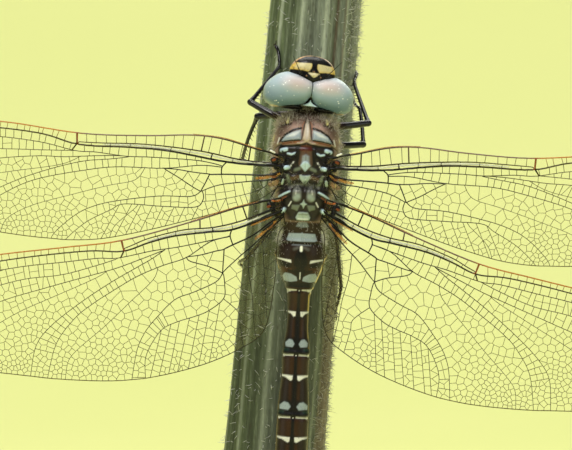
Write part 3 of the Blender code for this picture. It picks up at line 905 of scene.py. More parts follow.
def thorax_marks() -> list[Mark]:
    """Colours and raised plates of the thorax, from the collar to the waist."""
    t = Tint
    marks = [
        # The front slopes: a painted pinkish sheen (a painted highlight), the pale shoulder spots and the
        # keel with its forked foot.
        Mark(((0.75, 9), (1.6, 8.75), (1.4, 9)), t.PINK_BROWN, 0.1, 0.3, 0.6),
        Mark(((0.9, 9.75), (1.7, 9.55), (2.7, 8.8)), t.DARK_BROWN, 0.16, 0.2, 0.6, line=True),
        Mark(((2.05, 9.2), (2.75, 8.3)), t.BROWN, 0.3, 0.35, 0.6),
        Mark(((1.92, 9.72), (2.02, 9.34)), t.STRAW, 0.11, 0.05, 0.9, lift=0.05),
        Mark(((0.3, 9.45), (0.5, 9.15), (0.46, 8.7)), t.ORANGE, 0.03, 0.08, 0.8, line=True),
        Mark(((0.4, 8.6), (0.52, 8.6), (0.6, 7.7), (0.45, 7.6)), t.ORANGE_BROWN, 0, 0.06, 0.5),
        Mark(((0, 9.8), (0.12, 9.6), (0.3, 8.6), (0.38, 7.7), (0, 7.5)), t.BEIGE, 0.03, 0.05, lift=0.16),
        # Painted highlight: a soft cream line down the middle of the raised keel.
        Mark(((0, 9.5), (0.1, 8.4), (0, 7.8)), t.CREAM, 0.02, 0.12, 0.45),
        Mark(((0.2, 9.1), (0.34, 8)), t.ORANGE_BROWN, 0.02, 0.08, 0.5),
        Mark(((0.06, 9.95), (0.24, 9.3), (0.44, 8.2), (0.5, 7.7)), t.BLACK, 0.06, 0.05, line=True),
        # The plates in front of the forewings.
        Mark(
            ((0.62, 8.62), (0.62, 7.65), (2.5, 7.4), (2.15, 7.95), (1.35, 8.4)), t.GREY_BLUE, 0.02, 0.06,
            lift=0.1,
        ),
        Mark(((0.7, 8.45), (1.3, 8.3), (2, 7.85), (1.2, 8)), t.WHITE, 0.03, 0.12, 0.5),
        Mark(((0.7, 7.68), (1.5, 7.62), (2.2, 7.48)), t.GREY, 0.05, 0.14, 0.6),
        Mark(((0.6, 8.84), (1.35, 8.6), (2.15, 8.1), (2.66, 7.4)), t.BLACK, 0.11, 0.05, line=True),
        Mark(((0.75, 7.44), (1.6, 7.32), (2.5, 7.16)), t.ORANGE_BROWN, 0.11, 0.06, line=True),
        Mark(((1.2, 7.4), (1.9, 7.26), (2.5, 7.14)), t.BLACK, 0.03, 0.04, 0.8, line=True),
        Mark(((0.65, 7.6), (1.6, 7.5), (2.45, 7.34)), t.BLACK, 0.07, 0.04, line=True),
        # Painted highlight: a small whitish glint at the plates' outer end.
        Mark(((2.74, 7.75), (2.92, 7.15)), t.CREAM, 0.05, 0.04),
        Mark(((0.05, 7.5), (0.5, 7.32), (0.9, 7.3)), t.BEIGE, 0.07, 0.07, 0.8, line=True, lift=0.06),
        Mark(
            ((0, 7.38), (0.5, 7.2), (1.5, 7.08), (2.7, 7), (2.6, 6.82), (0.7, 6.95), (0, 7.14)), t.BLACK,
            0.02,
        ),
        # Between the forewings.
        Mark(((0, 7.14), (0.5, 7.02), (0.6, 6.6), (0, 6.35)), t.MAROON, 0.03, 0.1),
        Mark(((0, 6.6), (0.55, 6.5), (0.7, 5.1), (0.35, 4.7), (0, 4.6)), t.SIDE_BROWN, 0, 0.14, 0.6),
        Mark(((0.72, 6.5), (0.85, 5.4), (0.75, 4.9)), t.BLACK, 0.08, 0.06, line=True),
        Mark(((0, 6.15), (0.3, 6), (0.36, 5.2), (0, 5.1)), t.GREY_BLUE, 0.03, 0.12, 0.75, lift=0.14),
        Mark(
            ((0, 5.5), (0.26, 5.4), (0.5, 5.05), (0.3, 4.82), (0, 4.5)), t.PALE_BLUE, 0.02, 0.06, 0.9,
            lift=0.12,
        ),
        Mark(((0.6, 4.75), (1, 4.6)), t.GREY_GREEN, 0.16, 0.12, 0.9, lift=0.08),
        Mark(((2.02, 6.62), (2.4, 6.5)), t.PALE_BLUE, 0.2, 0.05, lift=0.12),
        Mark(((2.3, 6.38),), t.BLACK, 0.1, 0.05),
        Mark(((1.1, 6.28), (1.45, 6.12), (1.8, 6.2)), t.PALE_BLUE, 0.1, 0.05, line=True, lift=0.1),
        Mark(((1.2, 5.4), (1.48, 4.95)), t.CREAM, 0.05, 0.04, lift=0.05),
        Mark(((1.72, 4.82), (2.15, 4.68)), t.PALE_BLUE, 0.2, 0.06, lift=0.14),
        Mark(((2.55, 5.55), (3.2, 5.55)), t.ORANGE_BROWN, 0.26, 0.1, 0.9, lift=0.05),
        Mark(
            ((0.55, 4.35), (0.75, 4), (1.3, 3.85), (1.75, 4.15)), t.BLACK, 0.07, 0.08, line=True, lift=0.16,
        ),
        Mark(((0.9, 6.75), (1, 6), (0.95, 5.2)), t.BLACK, 0.06, 0.08, line=True, lift=0.14),
        Mark(((1.6, 5.5), (1.2, 4.9), (1.25, 4.4)), t.BLACK, 0.06, 0.08, line=True, lift=0.14),
        # The shield behind them and the bristly dip.
        Mark(
            ((0, 4), (0.5, 4.08), (0.48, 3.8), (0.26, 3.45), (0, 3.22)), t.PALE_GREEN, 0.04, 0.05, lift=0.16,
        ),
        Mark(((0.2, 3.1), (0.9, 3.1), (1.5, 2.88)), t.GREY, 0.14, 0.12, 0.75, line=True),
        Mark(((0.7, 3.9), (1.3, 3.7)), t.SIDE_BROWN, 0.18, 0.14, 0.6),
        Mark(((1.75, 4), (1.55, 3.2)), t.GREY_GREEN, 0.16, 0.1, 0.9),
        # Between the hindwings.
        Mark(((1.15, 2.45), (1.2, 1.7), (1.05, 1.2)), t.BLACK, 0.06, 0.08, line=True, lift=0.14),
        Mark(((0.55, 0.55), (0.85, 0.05), (0.75, -0.35)), t.BLACK, 0.06, 0.08, line=True, lift=0.12),
        Mark(((0, 2.75), (0.16, 2.7), (0.16, 1.6), (0, 1.5)), t.DARK_BROWN, 0.03, 0.1, 0.6),
        Mark(((0.7, 2.52), (0.7, 1.86)), t.GREY, 0.42, 0.12, 0.7, lift=0.2),
        Mark(((0.62, 1.96), (0.78, 1.76)), t.PALE_GREEN, 0.26, 0.16, 0.7),
        Mark(((0.78, 2.55), (0.82, 2.2)), t.WHITE, 0.05, 0.08, 0.5),
        Mark(
            ((0, 1.62), (0.1, 1.32), (0.34, 1.2), (0.12, 1.08), (0, 0.8)), t.PALE_GREEN, 0.02, 0.04,
            lift=0.08,
        ),
        Mark(
            ((0.42, 1.05), (1.12, 1.02), (1.15, 0.7), (0.62, 0.55)), t.GREY_GREEN, 0.05, 0.08, 0.85,
            lift=0.08,
        ),
        Mark(
            ((0, 0.4), (0.45, 0.36), (0.68, -0.1), (0.55, -0.36), (0, -0.38)), t.PALE_GREEN, 0.03, 0.05,
            lift=0.18,
        ),
        Mark(((0, 0.24), (0.42, 0.22)), t.GREY_GREEN, 0.06, 0.06, 0.8),
        Mark(((0, -0.24), (0.46, -0.22)), t.WHITE, 0.04, 0.06, 0.6),
        Mark(((1.5, 2.4), (2, 2.15), (2.45, 1.85)), t.PALE_BLUE, 0.1, 0.05, line=True, lift=0.1),
        Mark(((1.8, 1.85), (2.6, 1.5)), t.ORANGE_BROWN, 0.1, 0.08, 0.9),
        Mark(((1.25, 1.4), (1.5, 0.95)), t.CREAM, 0.05, 0.04, lift=0.05),
        Mark(((1.9, 0.62), (2.08, 0.25)), t.PALE_BLUE, 0.2, 0.06, lift=0.14),
        Mark(((2.9, 1.2), (3.3, 0.95)), t.ORANGE_BROWN, 0.24, 0.1, 0.9),
    ]
    # The flanks: two pale slanting bands, dark seams and a yellowish patch under the hindwing.
    for y, slant in ((6.9, 1.5), (2.6, 1.3)):
        band = ((y + slant * 0.6, 0.9), (y + slant * 0.3, 0), (y - slant * 0.4, -2.6))
        marks.append(Mark(band, t.STRAW, 0.28, 0.1, 0.9, face=Face.SIDE, line=True, lift=0.05))
    for y, slant in ((8.1, 1.2), (5.7, 1.4), (4.5, 1.3), (1.4, 1.2)):
        seam = ((y + slant, 2.7), (y + slant * 0.3, 0.2), (y - slant * 0.5, -3.2))
        marks.append(Mark(seam, t.BLACK, 0.07, 0.07, 0.9, face=Face.SIDE, line=True, lift=-0.16))
    marks.append(Mark(((4.1, 1.5), (3.8, 0.9)), t.STRAW, 0.22, 0.1, 0.8, face=Face.SIDE))
    marks.append(Mark(((4.55, 0.1), (4.3, -0.35)), t.DARK_BROWN, 0.14, 0.08, face=Face.SIDE, lift=-0.12))
    return marks


def front_ring_marks() -> list[Mark]:
    """Colours of the first two abdomen rings, which are swollen and richly marked."""
    t = Tint
    edge = ((2.46, -4.3), (1.9, -6.0), (1.5, -6.9), (1.02, -8.0), (1.0, -9.8), (1.08, -11.7), (1.28, -14.0))
    return [
        Mark(edge, t.YELLOW, 0.06, 0.04, line=True, mirrored=False),
        Mark(((0, -0.62), (0.42, -0.66), (0.62, -1.06), (0, -1.14)), t.GREY_BLUE, 0.02, 0.08, 0.6),
        Mark(
            ((0, -1.68), (0.1, -1.78), (1.3, -1.8), (1.5, -2.4), (1.3, -2.52), (0, -2.56)), t.GREY_BLUE,
            0.03, 0.06,
        ),
        Mark(((2.05, -1.5), (2.25, -2.4)), t.WHITE, 0.12, 0.14, 0.8),
        Mark(((-0.2, -2.72), (2.6, -2.78)), t.BLACK, 0.06, 0.05, mirrored=False),
        Mark(((0, -2.72), (2.6, -2.78)), t.BLACK, 0.06, 0.05),
        Mark(((0, -2.92), (0.95, -2.94)), t.GREY_BLUE, 0.05, 0.08, 0.5),
        Mark(((0.35, -3.2), (0.7, -3.35)), t.GREY, 0.12, 0.18, 0.5),
        Mark(
            (
                (0, -3.3), (0.24, -3.45), (0.48, -3.8), (0.66, -4.5), (0.62, -5), (0.3, -5.25), (0.55, -5.5),
                (0.22, -6.4), (0, -6.6),
            ),
            t.BLACK, 0.04, 0.12,
        ),
        Mark(((0.95, -4.74), (1, -4.48), (2.35, -4.3), (2.3, -4.38)), t.CREAM, 0.02, 0.05),
        Mark(((1, -4.9), (2.2, -4.58), (1.9, -5.05), (1.05, -5.2)), t.BLACK, 0.03, 0.1, 0.9),
        Mark(((0.9, -5.35), (2, -5.2), (1.8, -5.75), (1.1, -5.55)), t.RUST, 0.06, 0.12, 0.7),
        Mark(((0.45, -5.7), (1.2, -5.5)), t.BLACK, 0.1, 0.08, 0.9),
        Mark(
            ((0.32, -6.5), (0.4, -6.2), (0.95, -5.9), (1.5, -5.82), (1.7, -6.1), (1.55, -6.5), (1, -6.62)),
            t.GREY_BLUE, 0.06, 0.05,
        ),
        Mark(((0, -3.14), (0, -3.48)), t.WHITE, 0.14, 0.05),
        Mark(((0, -5.7), (0, -6.35)), t.CREAM, 0.04, 0.04),
        Mark(((0, -6.95), (1.6, -6.9)), t.BLACK, 0.24, 0.05),
        Mark(
            ((0.3, -7.44), (1.5, -7.36), (1.35, -7.85), (1.16, -7.8), (0.95, -7.52)), t.CREAM, 0, 0.07, 0.85,
        ),
        Mark(((0, -7.46), (0, -7.52)), t.WHITE, 0.12, 0.05),
        Mark(((-4.3, -0.2), (-5.2, 0.1)), t.YELLOW, 0.25, 0.1, 0.8, face=Face.SIDE),
    ]


@dataclass(frozen=True)
class Ring:
    """One of the long rings of the abdomen: its joints and how large its marks are."""

    front: float
    back: float
    half_width: float
    wedge: float = 1.0
    spot: float = 1.0

    def marks(self) -> list[Mark]:
        """A dark back line, pale wedges across the middle, paired spots and a black hind band."""
        t = Tint
        length = self.front - self.back
        wide = self.half_width
        middle = self.front - 0.345 * length
        spots = self.front - 0.833 * length
        deep = 0.54 * self.wedge
        size = 0.34 * self.spot
        spot = (
            (0.4 * wide, spots - size), (0.26 * wide, spots - size * 0.2), (0.44 * wide, spots + size * 0.8),
            (0.68 * wide, spots + size), (0.96 * wide, spots + size * 0.1),
            (0.94 * wide, spots - size * 0.8),
        )
        wedge = (
            (0.22, middle), (wide * 0.96, middle + 0.05), (wide * 0.94, middle - 0.1),
            (wide * 0.66, middle - deep * 0.35), (0.44, middle - deep), (0.26, middle - deep * 0.8),
        )
        marks = [
            Mark(((0, middle), (wide, middle), (wide, spots), (0, spots)), t.DARK_BROWN, 0, 0.4, 0.9),
            Mark(((wide * 0.95, self.front), (wide * 0.95, self.back)), t.DARK_BROWN, 0.05, 0.4, 0.6),
            Mark(((0.42, self.front - 0.3), (0.42, middle + 0.3)), t.RUST, 0.1, 0.3, 0.4),
            Mark(((0.45, middle - 0.9), (0.42, spots + 0.7)), t.RUST, 0.1, 0.2, 0.5),
            Mark(((0, self.front), (0, self.back)), t.BLACK, 0.15, 0.07),
            Mark(((0, middle + 0.1), (0, self.back)), t.BLACK, 0.2, 0.12),
            Mark(((0, middle - 0.2), (wide * 0.9, middle - 0.15)), t.BLACK, 0.12, 0.16, 0.85),
            Mark(((0, spots), (wide * 1.1, spots)), t.BLACK, 0.5, 0.25, 0.97),
            Mark(((0, self.back + 0.28), (wide * 1.1, self.back + 0.28)), t.BLACK, 0.34, 0.06),
            Mark(
                ((wide * 0.75, self.back + 0.45), (wide * 1.05, self.back + 0.45)), t.DEEP_GREEN, 0.14, 0.1,
                0.9,
            ),
            Mark(wedge, t.CREAM, 0, 0.05, 0.95),
            Mark(spot, t.GREY_BLUE, 0.07, 0.06),
            Mark(((0.32, self.front - 0.1), (wide * 0.98, self.front - 0.14)), t.CREAM, 0.06, 0.05, 0.9),
            Mark(((wide * 0.88, self.front - 0.16),), t.CREAM, 0.1, 0.06, 0.9),
            Mark(((0, self.front - 0.14),), t.CREAM, 0.06, 0.04),
            Mark(
                ((self.front - 0.2, -0.28), (self.back + 0.5, -0.32)), t.YELLOW, 0.1, 0.06, 0.95,
                face=Face.SIDE,
            ),
            Mark(((self.front - 0.1, -1.15), (self.back, -1.15)), t.BLACK, 0.1, 0.12, 0.8, face=Face.SIDE),
        ]
        return marks


@dataclass
class Trunk:
    """Neck, thorax and abdomen under one skin, which lies inside the solids by the coat's depth.

    Stations run from the head to the tail, as (y, half width, top, bottom, squareness).
    """

    around: int = 264
    fine_step: float = 0.064
    long_step: float = 0.1
    fine_end: float = -8.2
    hairy_depth: float = 0.2
    bare_depth: float = 0.03
    stations: tuple[tuple[float, ...], ...] = (
        (11.6, 0.75, 0.5, -1, 2.2),
        (10.9, 0.85, 0.6, -1.2, 2.2),
        (10.55, 1.45, 1, -2.1, 2.4),
        (10.2, 2.15, 1.6, -2.7, 2.5),
        (9.9, 2.6, 2.2, -2.95, 2.6),
        (9.4, 3.05, 2.85, -3.15, 2.6),
        (8.6, 3.4, 3.4, -3.55, 2.6),
        (7.5, 3.55, 3.75, -4.05, 2.6),
        (6.2, 3.58, 3.75, -4.25, 2.6),
        (4.2, 3.5, 3.6, -4, 2.6),
        (2.4, 3.25, 3.5, -3.35, 2.6),
        (0.9, 2.8, 3.35, -2.65, 2.5),
        (-0.3, 2.35, 2.9, -2.2, 2.4),
        (-1.6, 2.42, 2.5, -2.4, 2.2),
        (-4.3, 2.55, 2.35, -2.65, 2.2),
        (-6.3, 1.85, 1.8, -2.2, 2.2),
        (-7.6, 1.3, 1.35, -1.65, 2.2),
        (-9.3, 1.12, 1.05, -1.4, 2.2),
        (-11.6, 1.14, 1, -1.4, 2.2),
        (-13.6, 1.4, 1.05, -1.55, 2.2),
        (-16.2, 1.36, 1, -1.6, 2.2),
        (-19.6, 1.58, 1, -1.75, 2.2),
        (-26.3, 1.62, 0.95, -1.85, 2.2),
        (-32.1, 1.64, 0.85, -1.95, 2.2),
        (-38, 1.6, 0.75, -2, 2.2),
        (-41.5, 1.52, 0.6, -1.95, 2.2),
        (-44, 1.36, 0.4, -1.85, 2.2),
        (-45.5, 1.12, 0.12, -1.66, 2.2),
        (-45.75, 0.8, -0.1, -1.4, 2.2),
    )
    joints: tuple[float, ...] = (-0.5, -2.7, -7.4, -13.95, -20.25, -26.35, -32.15, -37.55, -41.15, -43.95)
    rows: Array = field(init=False)
    facing: Array = field(init=False)
    colours: Array = field(init=False)

    def section(self, y: Array) -> Array:
        """Half width, top, bottom and squareness at each y.

        Args:
            y: places along the trunk.

        Returns:
            One row for each place.
        """
        given = np.array(self.stations)
        curve = smooth_curve(given, 8)
        order = np.argsort(curve[:, 0])
        return stacked(*(np.interp(y, curve[order, 0], curve[order, k]) for k in range(1, 5)))

    def depth(self, y: Array) -> Array:
        """How far the skin lies inside the solids, for the coat."""
        hairy = ease(y, -7.0, -2.0)
        return self.bare_depth + (self.hairy_depth - self.bare_depth) * hairy

    def relief(self, y: Array, turn: Array, points: Array) -> Array:
        """Ring edges, keels, folds and the dips between plates, in millimetres outwards.

        Args:
            y: places along the trunk.
            turn: angles round it.
            points: places, in the insect's frame.

        Returns:
            One height for each point.
        """
        height = np.zeros_like(points[..., 0])
        top, low = np.maximum(np.sin(turn), 0.0), np.maximum(-np.sin(turn), 0.0)
        x, z = points[..., 0], points[..., 2]
        for joint in self.joints:
            hind = hump(y, joint + 0.16, 0.3) * 0.07
            dip = ease(y, joint - 0.5, joint) * (y < joint) * -0.1
            height += (hind + dip) * (0.6 + 0.4 * top)
        abdomen = ease(y, -0.3, -1.0)
        height += abdomen * hump(x, 0.0, 0.16) * (z > 0) * 0.04
        height += abdomen * low * (hump(np.abs(x), 0.55, 0.2) * -0.14 + hump(x, 0.0, 0.5) * 0.05)
        lateral = hump(z, -0.62, 0.16) * (np.abs(np.cos(turn)) > 0.5)
        height += abdomen * lateral * 0.06
        for joint, last in zip(self.joints[2:], self.joints[3:]):
            height += hump(y, joint - 0.38 * (joint - last), 0.14) * 0.025 * top
        # The bellows of soft skin where the second ring narrows, and the small ears on its sides.
        height += hump(y, -3.9, 0.55) * hump(z, -0.5, 0.7) * (np.abs(np.cos(turn)) > 0.5) * 0.3
        thorax = ease(y, -0.2, 0.6) * ease(y, 7.3, 7.0)
        height -= thorax * top**3 * hump(np.abs(x), 1.0, 0.9) * 0.1
        height -= thorax * top**2 * (hump(y, 3.0, 0.7) * 0.3 + hump(y, 6.95, 0.3) * 0.12)
        height += ease(y, 7.0, 7.4) * hump(np.abs(x), 0.55, 0.25) * top * -0.06
        height -= hump(y, 10.05, 0.28) * 0.2
        height += hump(y, 10.5, 0.3) * top * 0.25
        return height

    def ground(self, points: Array) -> Array:
        """The shell's colour under its marks.

        Args:
            points: places, in the insect's frame.

        Returns:
            One colour for each point.
        """
        y, z = points[:, 1:2], points[:, 2:3]
        x = np.abs(points[:, :1])
        colours = np.broadcast_to(rgb(Tint.THORAX_BROWN), points.shape)
        colours = blend(colours, Tint.SIDE_BROWN, ease(z, 1.5, -1.0))
        back = ease(y, 7.1, 6.95) * ease(y, -0.6, -0.4) * ease(z, 1.9, 2.5) * ease(x, 2.95, 2.7)
        colours = blend(colours, Tint.BLACK, back * 0.95)
        colours = blend(colours, Tint.DARK_BROWN, ease(y, 10.0, 10.4) * 0.9)
        abdomen = ease(y, -0.5, -0.8)
        colours = blend(colours, Tint.BROWN, abdomen)
        colours = blend(colours, Tint.RUST, abdomen * ease(y, -6.5, -8.5) * 0.17)
        colours = blend(colours, Tint.DARK_BROWN, ease(y, -20.0, -40.0) * 0.6)
        belly = ease(z, -0.9, -1.7) * abdomen
        return blend(colours, Tint.DARK_BROWN, belly * 0.8)

    def marks(self) -> list[Mark]:
        """All the marks of the trunk and abdomen."""
        marks = thorax_marks() + front_ring_marks()
        joints = [*self.joints, self.stations[-1][0]]
        for number in range(2, len(joints) - 1):
            front, back = joints[number], joints[number + 1]
            width = float(self.section(np.array([(front + back) / 2]))[0, 0])
            fade = 1.0 if number < 7 else 0.75
            marks += Ring(front, back, width, fade, fade).marks()
        return marks

    def shape(self) -> None:
        """Works out the skin's points, its normals and its colours."""
        first, last = self.stations[0][0], self.stations[-1][0]
        fine = np.arange(first, self.fine_end, -self.fine_step)
        y = np.concatenate([fine, np.arange(self.fine_end, last, -self.long_step), [last]])
        step = circle(self.around)
        turn = step - 0.28 * np.cos(step)
        section = self.section(y)
        depth = self.depth(y)
        width = (section[:, 0] - depth)[:, None]
        middle = ((section[:, 1] + section[:, 2]) / 2)[:, None]
        half = ((section[:, 1] - section[:, 2]) / 2 - depth)[:, None]
        power = section[:, 3:4]
        c, s = np.cos(turn)[None, :], np.sin(turn)[None, :]
        reach = (np.abs(c) ** power + np.abs(s) ** power) ** (-1 / power)
        flat_y = np.broadcast_to(y[:, None], reach.shape)
        self.rows = stacked(width * c * reach, flat_y, middle + half * s * reach)
        self.facing = self.normals()
        marks = self.marks()
        flat, facing = self.rows.reshape(-1, 3), self.facing.reshape(-1, 3)
        height = self.relief(flat_y, turn[None, :], self.rows)
        height += lifted(flat, facing, marks).reshape(height.shape)
        self.colours = painted(flat, facing, self.ground(flat), marks)
        self.rows = self.rows + self.facing * height[..., None]
        self.facing = self.normals()

    def normals(self) -> Array:
        """The skin's outward normals at its points."""
        around = np.roll(self.rows, -1, axis=1) - np.roll(self.rows, 1, axis=1)
        along = np.gradient(self.rows, axis=0)
        return unit(np.cross(around, along))

    def build(self, matrix: Matrix) -> None:
        """Makes the skin.

        Args:
            matrix: the insect's frame.
        """
        self.shape()
        draft = Draft()
        draft.add_rows(self.rows, self.colours)
        nodes = ["neck", "prothorax", "thorax"] + [f"abdomen_{n}" for n in range(1, 11)]
        finish = ShellFinish("trunk_shell").make()
        draft.build("trunk_skin", finish, matrix, "skin", tuple(nodes))


@dataclass
class TailParts:
    """The leaf-shaped claspers, the plate between them and the small plates round the vent."""

    length: float = 4.15
    width: float = 1.05
    tail_y: float = -45.6
    middle_z: float = -0.78
    spread: float = 0.62

    def build(self, matrix: Matrix) -> None:
        """Makes both claspers and the middle plate.

        Args:
            matrix: the insect's frame.
        """
        finish = ShellFinish("clasper_shell", rough=0.32, uneven=0.25).make()
        share = np.linspace(0.0, 1.0, 36)
        width = self.width / 2 * np.interp(
            share, [0, 0.12, 0.3, 0.6, 0.85, 1], [0.36, 0.42, 0.75, 1.0, 0.85, 0.3],
        )
        for side, sign in (("right", 1), ("left", -1)):
            x = sign * (self.spread + 0.35 * share)
            y = self.tail_y - self.length * share
            z = self.middle_z + 0.25 + 0.12 * np.sin(share * math.pi)
            draft = Draft()
            path = stacked(x, y, z)
            tint = np.linspace(0.0, 1.0, len(share))[:, None]
            colour = rgb(Tint.BLACK) * tint + rgb(Tint.DARK_BROWN) * (1 - tint)
            draft.add_tube(path, width, 20, colour, flat=0.36, side=(1.0, 0.0, 0.0))
            keel = path + np.array([0.0, 0.0, 0.17])
            draft.add_tube(keel[3:-3], 0.06 + 0.03 * np.sin(share[3:-3] * math.pi), 8, Tint.BLACK)
            draft.build(f"clasper_{side}", finish, matrix, "leg", (f"cercus_{side}",))
        draft = Draft()
        y = self.tail_y - 1.5 * share
        z = self.middle_z - 0.55 - 0.15 * share
        path = stacked(np.zeros_like(share), y, z)
        draft.add_tube(path, 0.52 - 0.26 * share, 20, Tint.DARK_BROWN, flat=0.5, side=(1.0, 0.0, 0.0))
        for x in (0.42, -0.42):
            draft.add_blob((x, self.tail_y - 0.1, self.middle_z - 0.75), (0.34, 0.5, 0.24), Tint.BROWN)
        draft.build("vent_plates", finish, matrix, "leg", ("epiproct",))


# ----- head


@dataclass(frozen=True)
class Lobe:
    """A rounded part of the head's shell: its middle, half sizes and squareness."""

    centre: Triple
    semi: Triple
    power: float = 2.3


@dataclass
class Head:
    """The head: one skin over skull and face, two compound eyes, three simple eyes and the feelers.

    The head's frame has the middle of the eyes as its origin, +Y to the face and +Z to the crown.
    """

    lobes: tuple[Lobe, ...] = (
        Lobe((0, -0.35, -0.3), (3.45, 1.42, 2.4)),
        Lobe((0, 1.3, 0.78), (2.38, 2.16, 1.28)),
        Lobe((0, 1.15, -0.95), (2.22, 1.82, 1)),
        Lobe((0, 1, -1.75), (2, 1.72, 0.75), 2.6),
        Lobe((0, 0.95, -2.3), (1.86, 1.55, 0.62), 2.6),
        Lobe((1.75, 0.45, -1.9), (0.62, 1.1, 0.85)),
        Lobe((-1.75, 0.45, -1.9), (0.62, 1.1, 0.85)),
        Lobe((0.62, -0.25, -2.8), (0.75, 1.45, 0.55), 2.6),
        Lobe((-0.62, -0.25, -2.8), (0.75, 1.45, 0.55), 2.6),
        Lobe((1.5, -0.2, -2.6), (0.42, 1.2, 0.6)),
        Lobe((-1.5, -0.2, -2.6), (0.42, 1.2, 0.6)),
        Lobe((0, 1.4, 1.8), (0.66, 0.34, 0.5), 2),
    )
    voxel: float = 0.06
    eye_centre: Triple = (1.78, 0.0, 0.15)
    eye_semi: Triple = (2.8, 1.8, 2.93)
    eye_power: float = 2.35
    eye_detail: int = 84
    eye_front: Outline = (
        (0, 1.08), (0.6, 1.26), (1.3, 1.48), (1.9, 1.58), (2.5, 1.56), (3.2, 1.3), (3.9, 0.78), (4.4, 0.15),
        (4.68, -0.6),
    )
    eye_rear: Outline = (
        (0, -0.95), (0.15, -1.04), (0.42, -1.38), (0.8, -1.62), (1.7, -1.88), (2.6, -2.04), (3.4, -2.03),
        (3.95, -1.88), (4.4, -1.5), (4.68, -0.7),
    )
    skin_points: Array = field(init=False)
    skin_facing: Array = field(init=False)
    skin_colours: Array = field(init=False)

    def marks(self) -> list[Mark]:
        """The face's markings, seen from above."""
        t = Tint
        crest = ((0, 3.42), (0.9, 3.28), (1.55, 2.93), (1.88, 2.62), (1.5, 2.6), (0.8, 2.66), (0, 2.7))
        band = ((0, 1.9), (0.5, 1.78), (1.2, 1.86), (2.2, 1.84), (2.9, 1.7), (2.9, 0.4), (0, 0.4))
        return [
            Mark(((0, 3.6), (1.7, 3.1), (2.7, 1.4), (2.2, 1.3), (0, 1.7)), t.YELLOW, 0, 0.05),
            Mark(((0.35, 2.66), (1.6, 2.62), (1.9, 2.1), (0.45, 1.95)), t.FACE_CREAM, 0.08, 0.2, 0.95),
            # Painted shadow: a faint orange-brown line where a feeler's shadow falls across the face.
            Mark(((1.9, 2.6), (1.98, 1.95)), t.ORANGE_BROWN, 0.02, 0.1, 0.45),
            Mark(((1.95, 2.75), (2.3, 2.2)), t.ORANGE_BROWN, 0.06, 0.12, 0.7),
            Mark(crest, t.BLACK, 0.03, 0.05),
            Mark(
                ((0, 2.9), (0.34, 2.84), (0.24, 2.5), (0.27, 2.15), (0.5, 1.8), (0, 1.6)), t.BLACK, 0.03,
                0.05,
            ),
            Mark(
                ((0, 3.52), (1, 3.33), (1.72, 2.88), (2.1, 2.42)), t.PINK_BROWN, 0.05, 0.06, 0.85, line=True,
            ),
            Mark(band, t.BLACK, 0, 0.05),
            Mark(((0, 1.7), (0.58, 1.67), (0.12, 1.3), (0, 1.24)), t.FACE_CREAM, 0.03, 0.05),
        ]

    def front_marks(self) -> list[Mark]:
        """The marks of the upright face: a yellow-green face with brown seams and a dark lip edge."""
        t = Tint
        marks = [
            Mark(((0, 0.9), (2.4, 0.9), (2.4, -0.2), (0, -0.2)), t.STRAW, 0, 0.2),
            Mark(((0, -0.28), (2.3, -0.2)), t.ORANGE_BROWN, 0.08, 0.1, 0.7),
            Mark(((0, -0.4), (2.2, -0.4), (2, -1.25), (0, -1.35)), t.CREAM, 0, 0.12),
            Mark(((0, -1.42), (2, -1.3)), t.BROWN, 0.07, 0.08, 0.8),
            Mark(((0, -1.5), (1.9, -1.5), (1.8, -2.2), (0, -2.3)), t.STRAW, 0, 0.1),
            Mark(((0, -2.3), (1.9, -2.15)), t.BLACK, 0.12, 0.08, 0.9),
            Mark(((0.35, -0.8),), t.ORANGE_BROWN, 0.1, 0.08, 0.6),
        ]
        return [replace(mark, face=Face.FRONT) for mark in marks]

    def skin(self, matrix: Matrix) -> None:
        """Joins the lobes under one skin and paints it.

        Args:
            matrix: the head's frame.
        """
        draft = Draft()
        for lobe in self.lobes:
            draft.add_blob(lobe.centre, lobe.semi, Tint.BLACK, lobe.power, detail=26)
        mesh = bpy.data.meshes.new("head_lobes")
        mesh.from_pydata(np.vstack(draft.points).tolist(), [], draft.faces)
        lump = placed("head_lobes", mesh)
        joined = lump.modifiers.new("join", "REMESH")
        joined.mode, joined.voxel_size = "VOXEL", self.voxel
        calm = lump.modifiers.new("calm", "SMOOTH")
        calm.factor, calm.iterations = 0.5, 5
        graph = bpy.context.evaluated_depsgraph_get()
        made = bpy.data.meshes.new_from_object(lump.evaluated_get(graph))
        points = np.array([vertex.co for vertex in made.vertices])
        facing = np.array([vertex.normal for vertex in made.vertices])
        faces = [list(face.vertices) for face in made.polygons]
        bpy.data.objects.remove(lump)
        y, z = points[:, 1], points[:, 2]
        ground = np.broadcast_to(rgb(Tint.DARK_BROWN), points.shape)
        ground = painted(points, np.abs(facing), ground, self.front_marks())
        upper = np.where((z > 0.35) | (y < 0.9))[0]
        skyward = np.tile([0.0, 0.0, 1.0], (len(upper), 1))
        over = painted(points[upper], skyward, ground[upper], self.marks())
        colours = ground.copy()
        share = ease(z[upper], 0.35, 0.75)[:, None]
        colours[upper] += (over - colours[upper]) * share
        rear = ease(y, 0.4, -0.2)[:, None]
        colours = blend(colours, Tint.BLACK, rear)
        self.skin_points, self.skin_facing, self.skin_colours = points, facing, colours
        clean = Draft()
        clean.add(points, faces, colours)
        nodes = ("head", "vertex", "frons", "clypeus", "labrum", "labium")
        finish = ShellFinish("head_shell", 0.3, 0.22, 12.0, 0.012, 0.15).make()
        clean.build("head_skin", finish, matrix, "face", nodes)

    def eye_ball(self) -> Draft:
        """The squarish lens that both eyes are shaped from, about its own middle."""
        draft = Draft()
        draft.add_blob((0.0, 0.0, 0.0), self.eye_semi, (1.0, 1.0, 1.0), self.eye_power, self.eye_detail)
        return draft

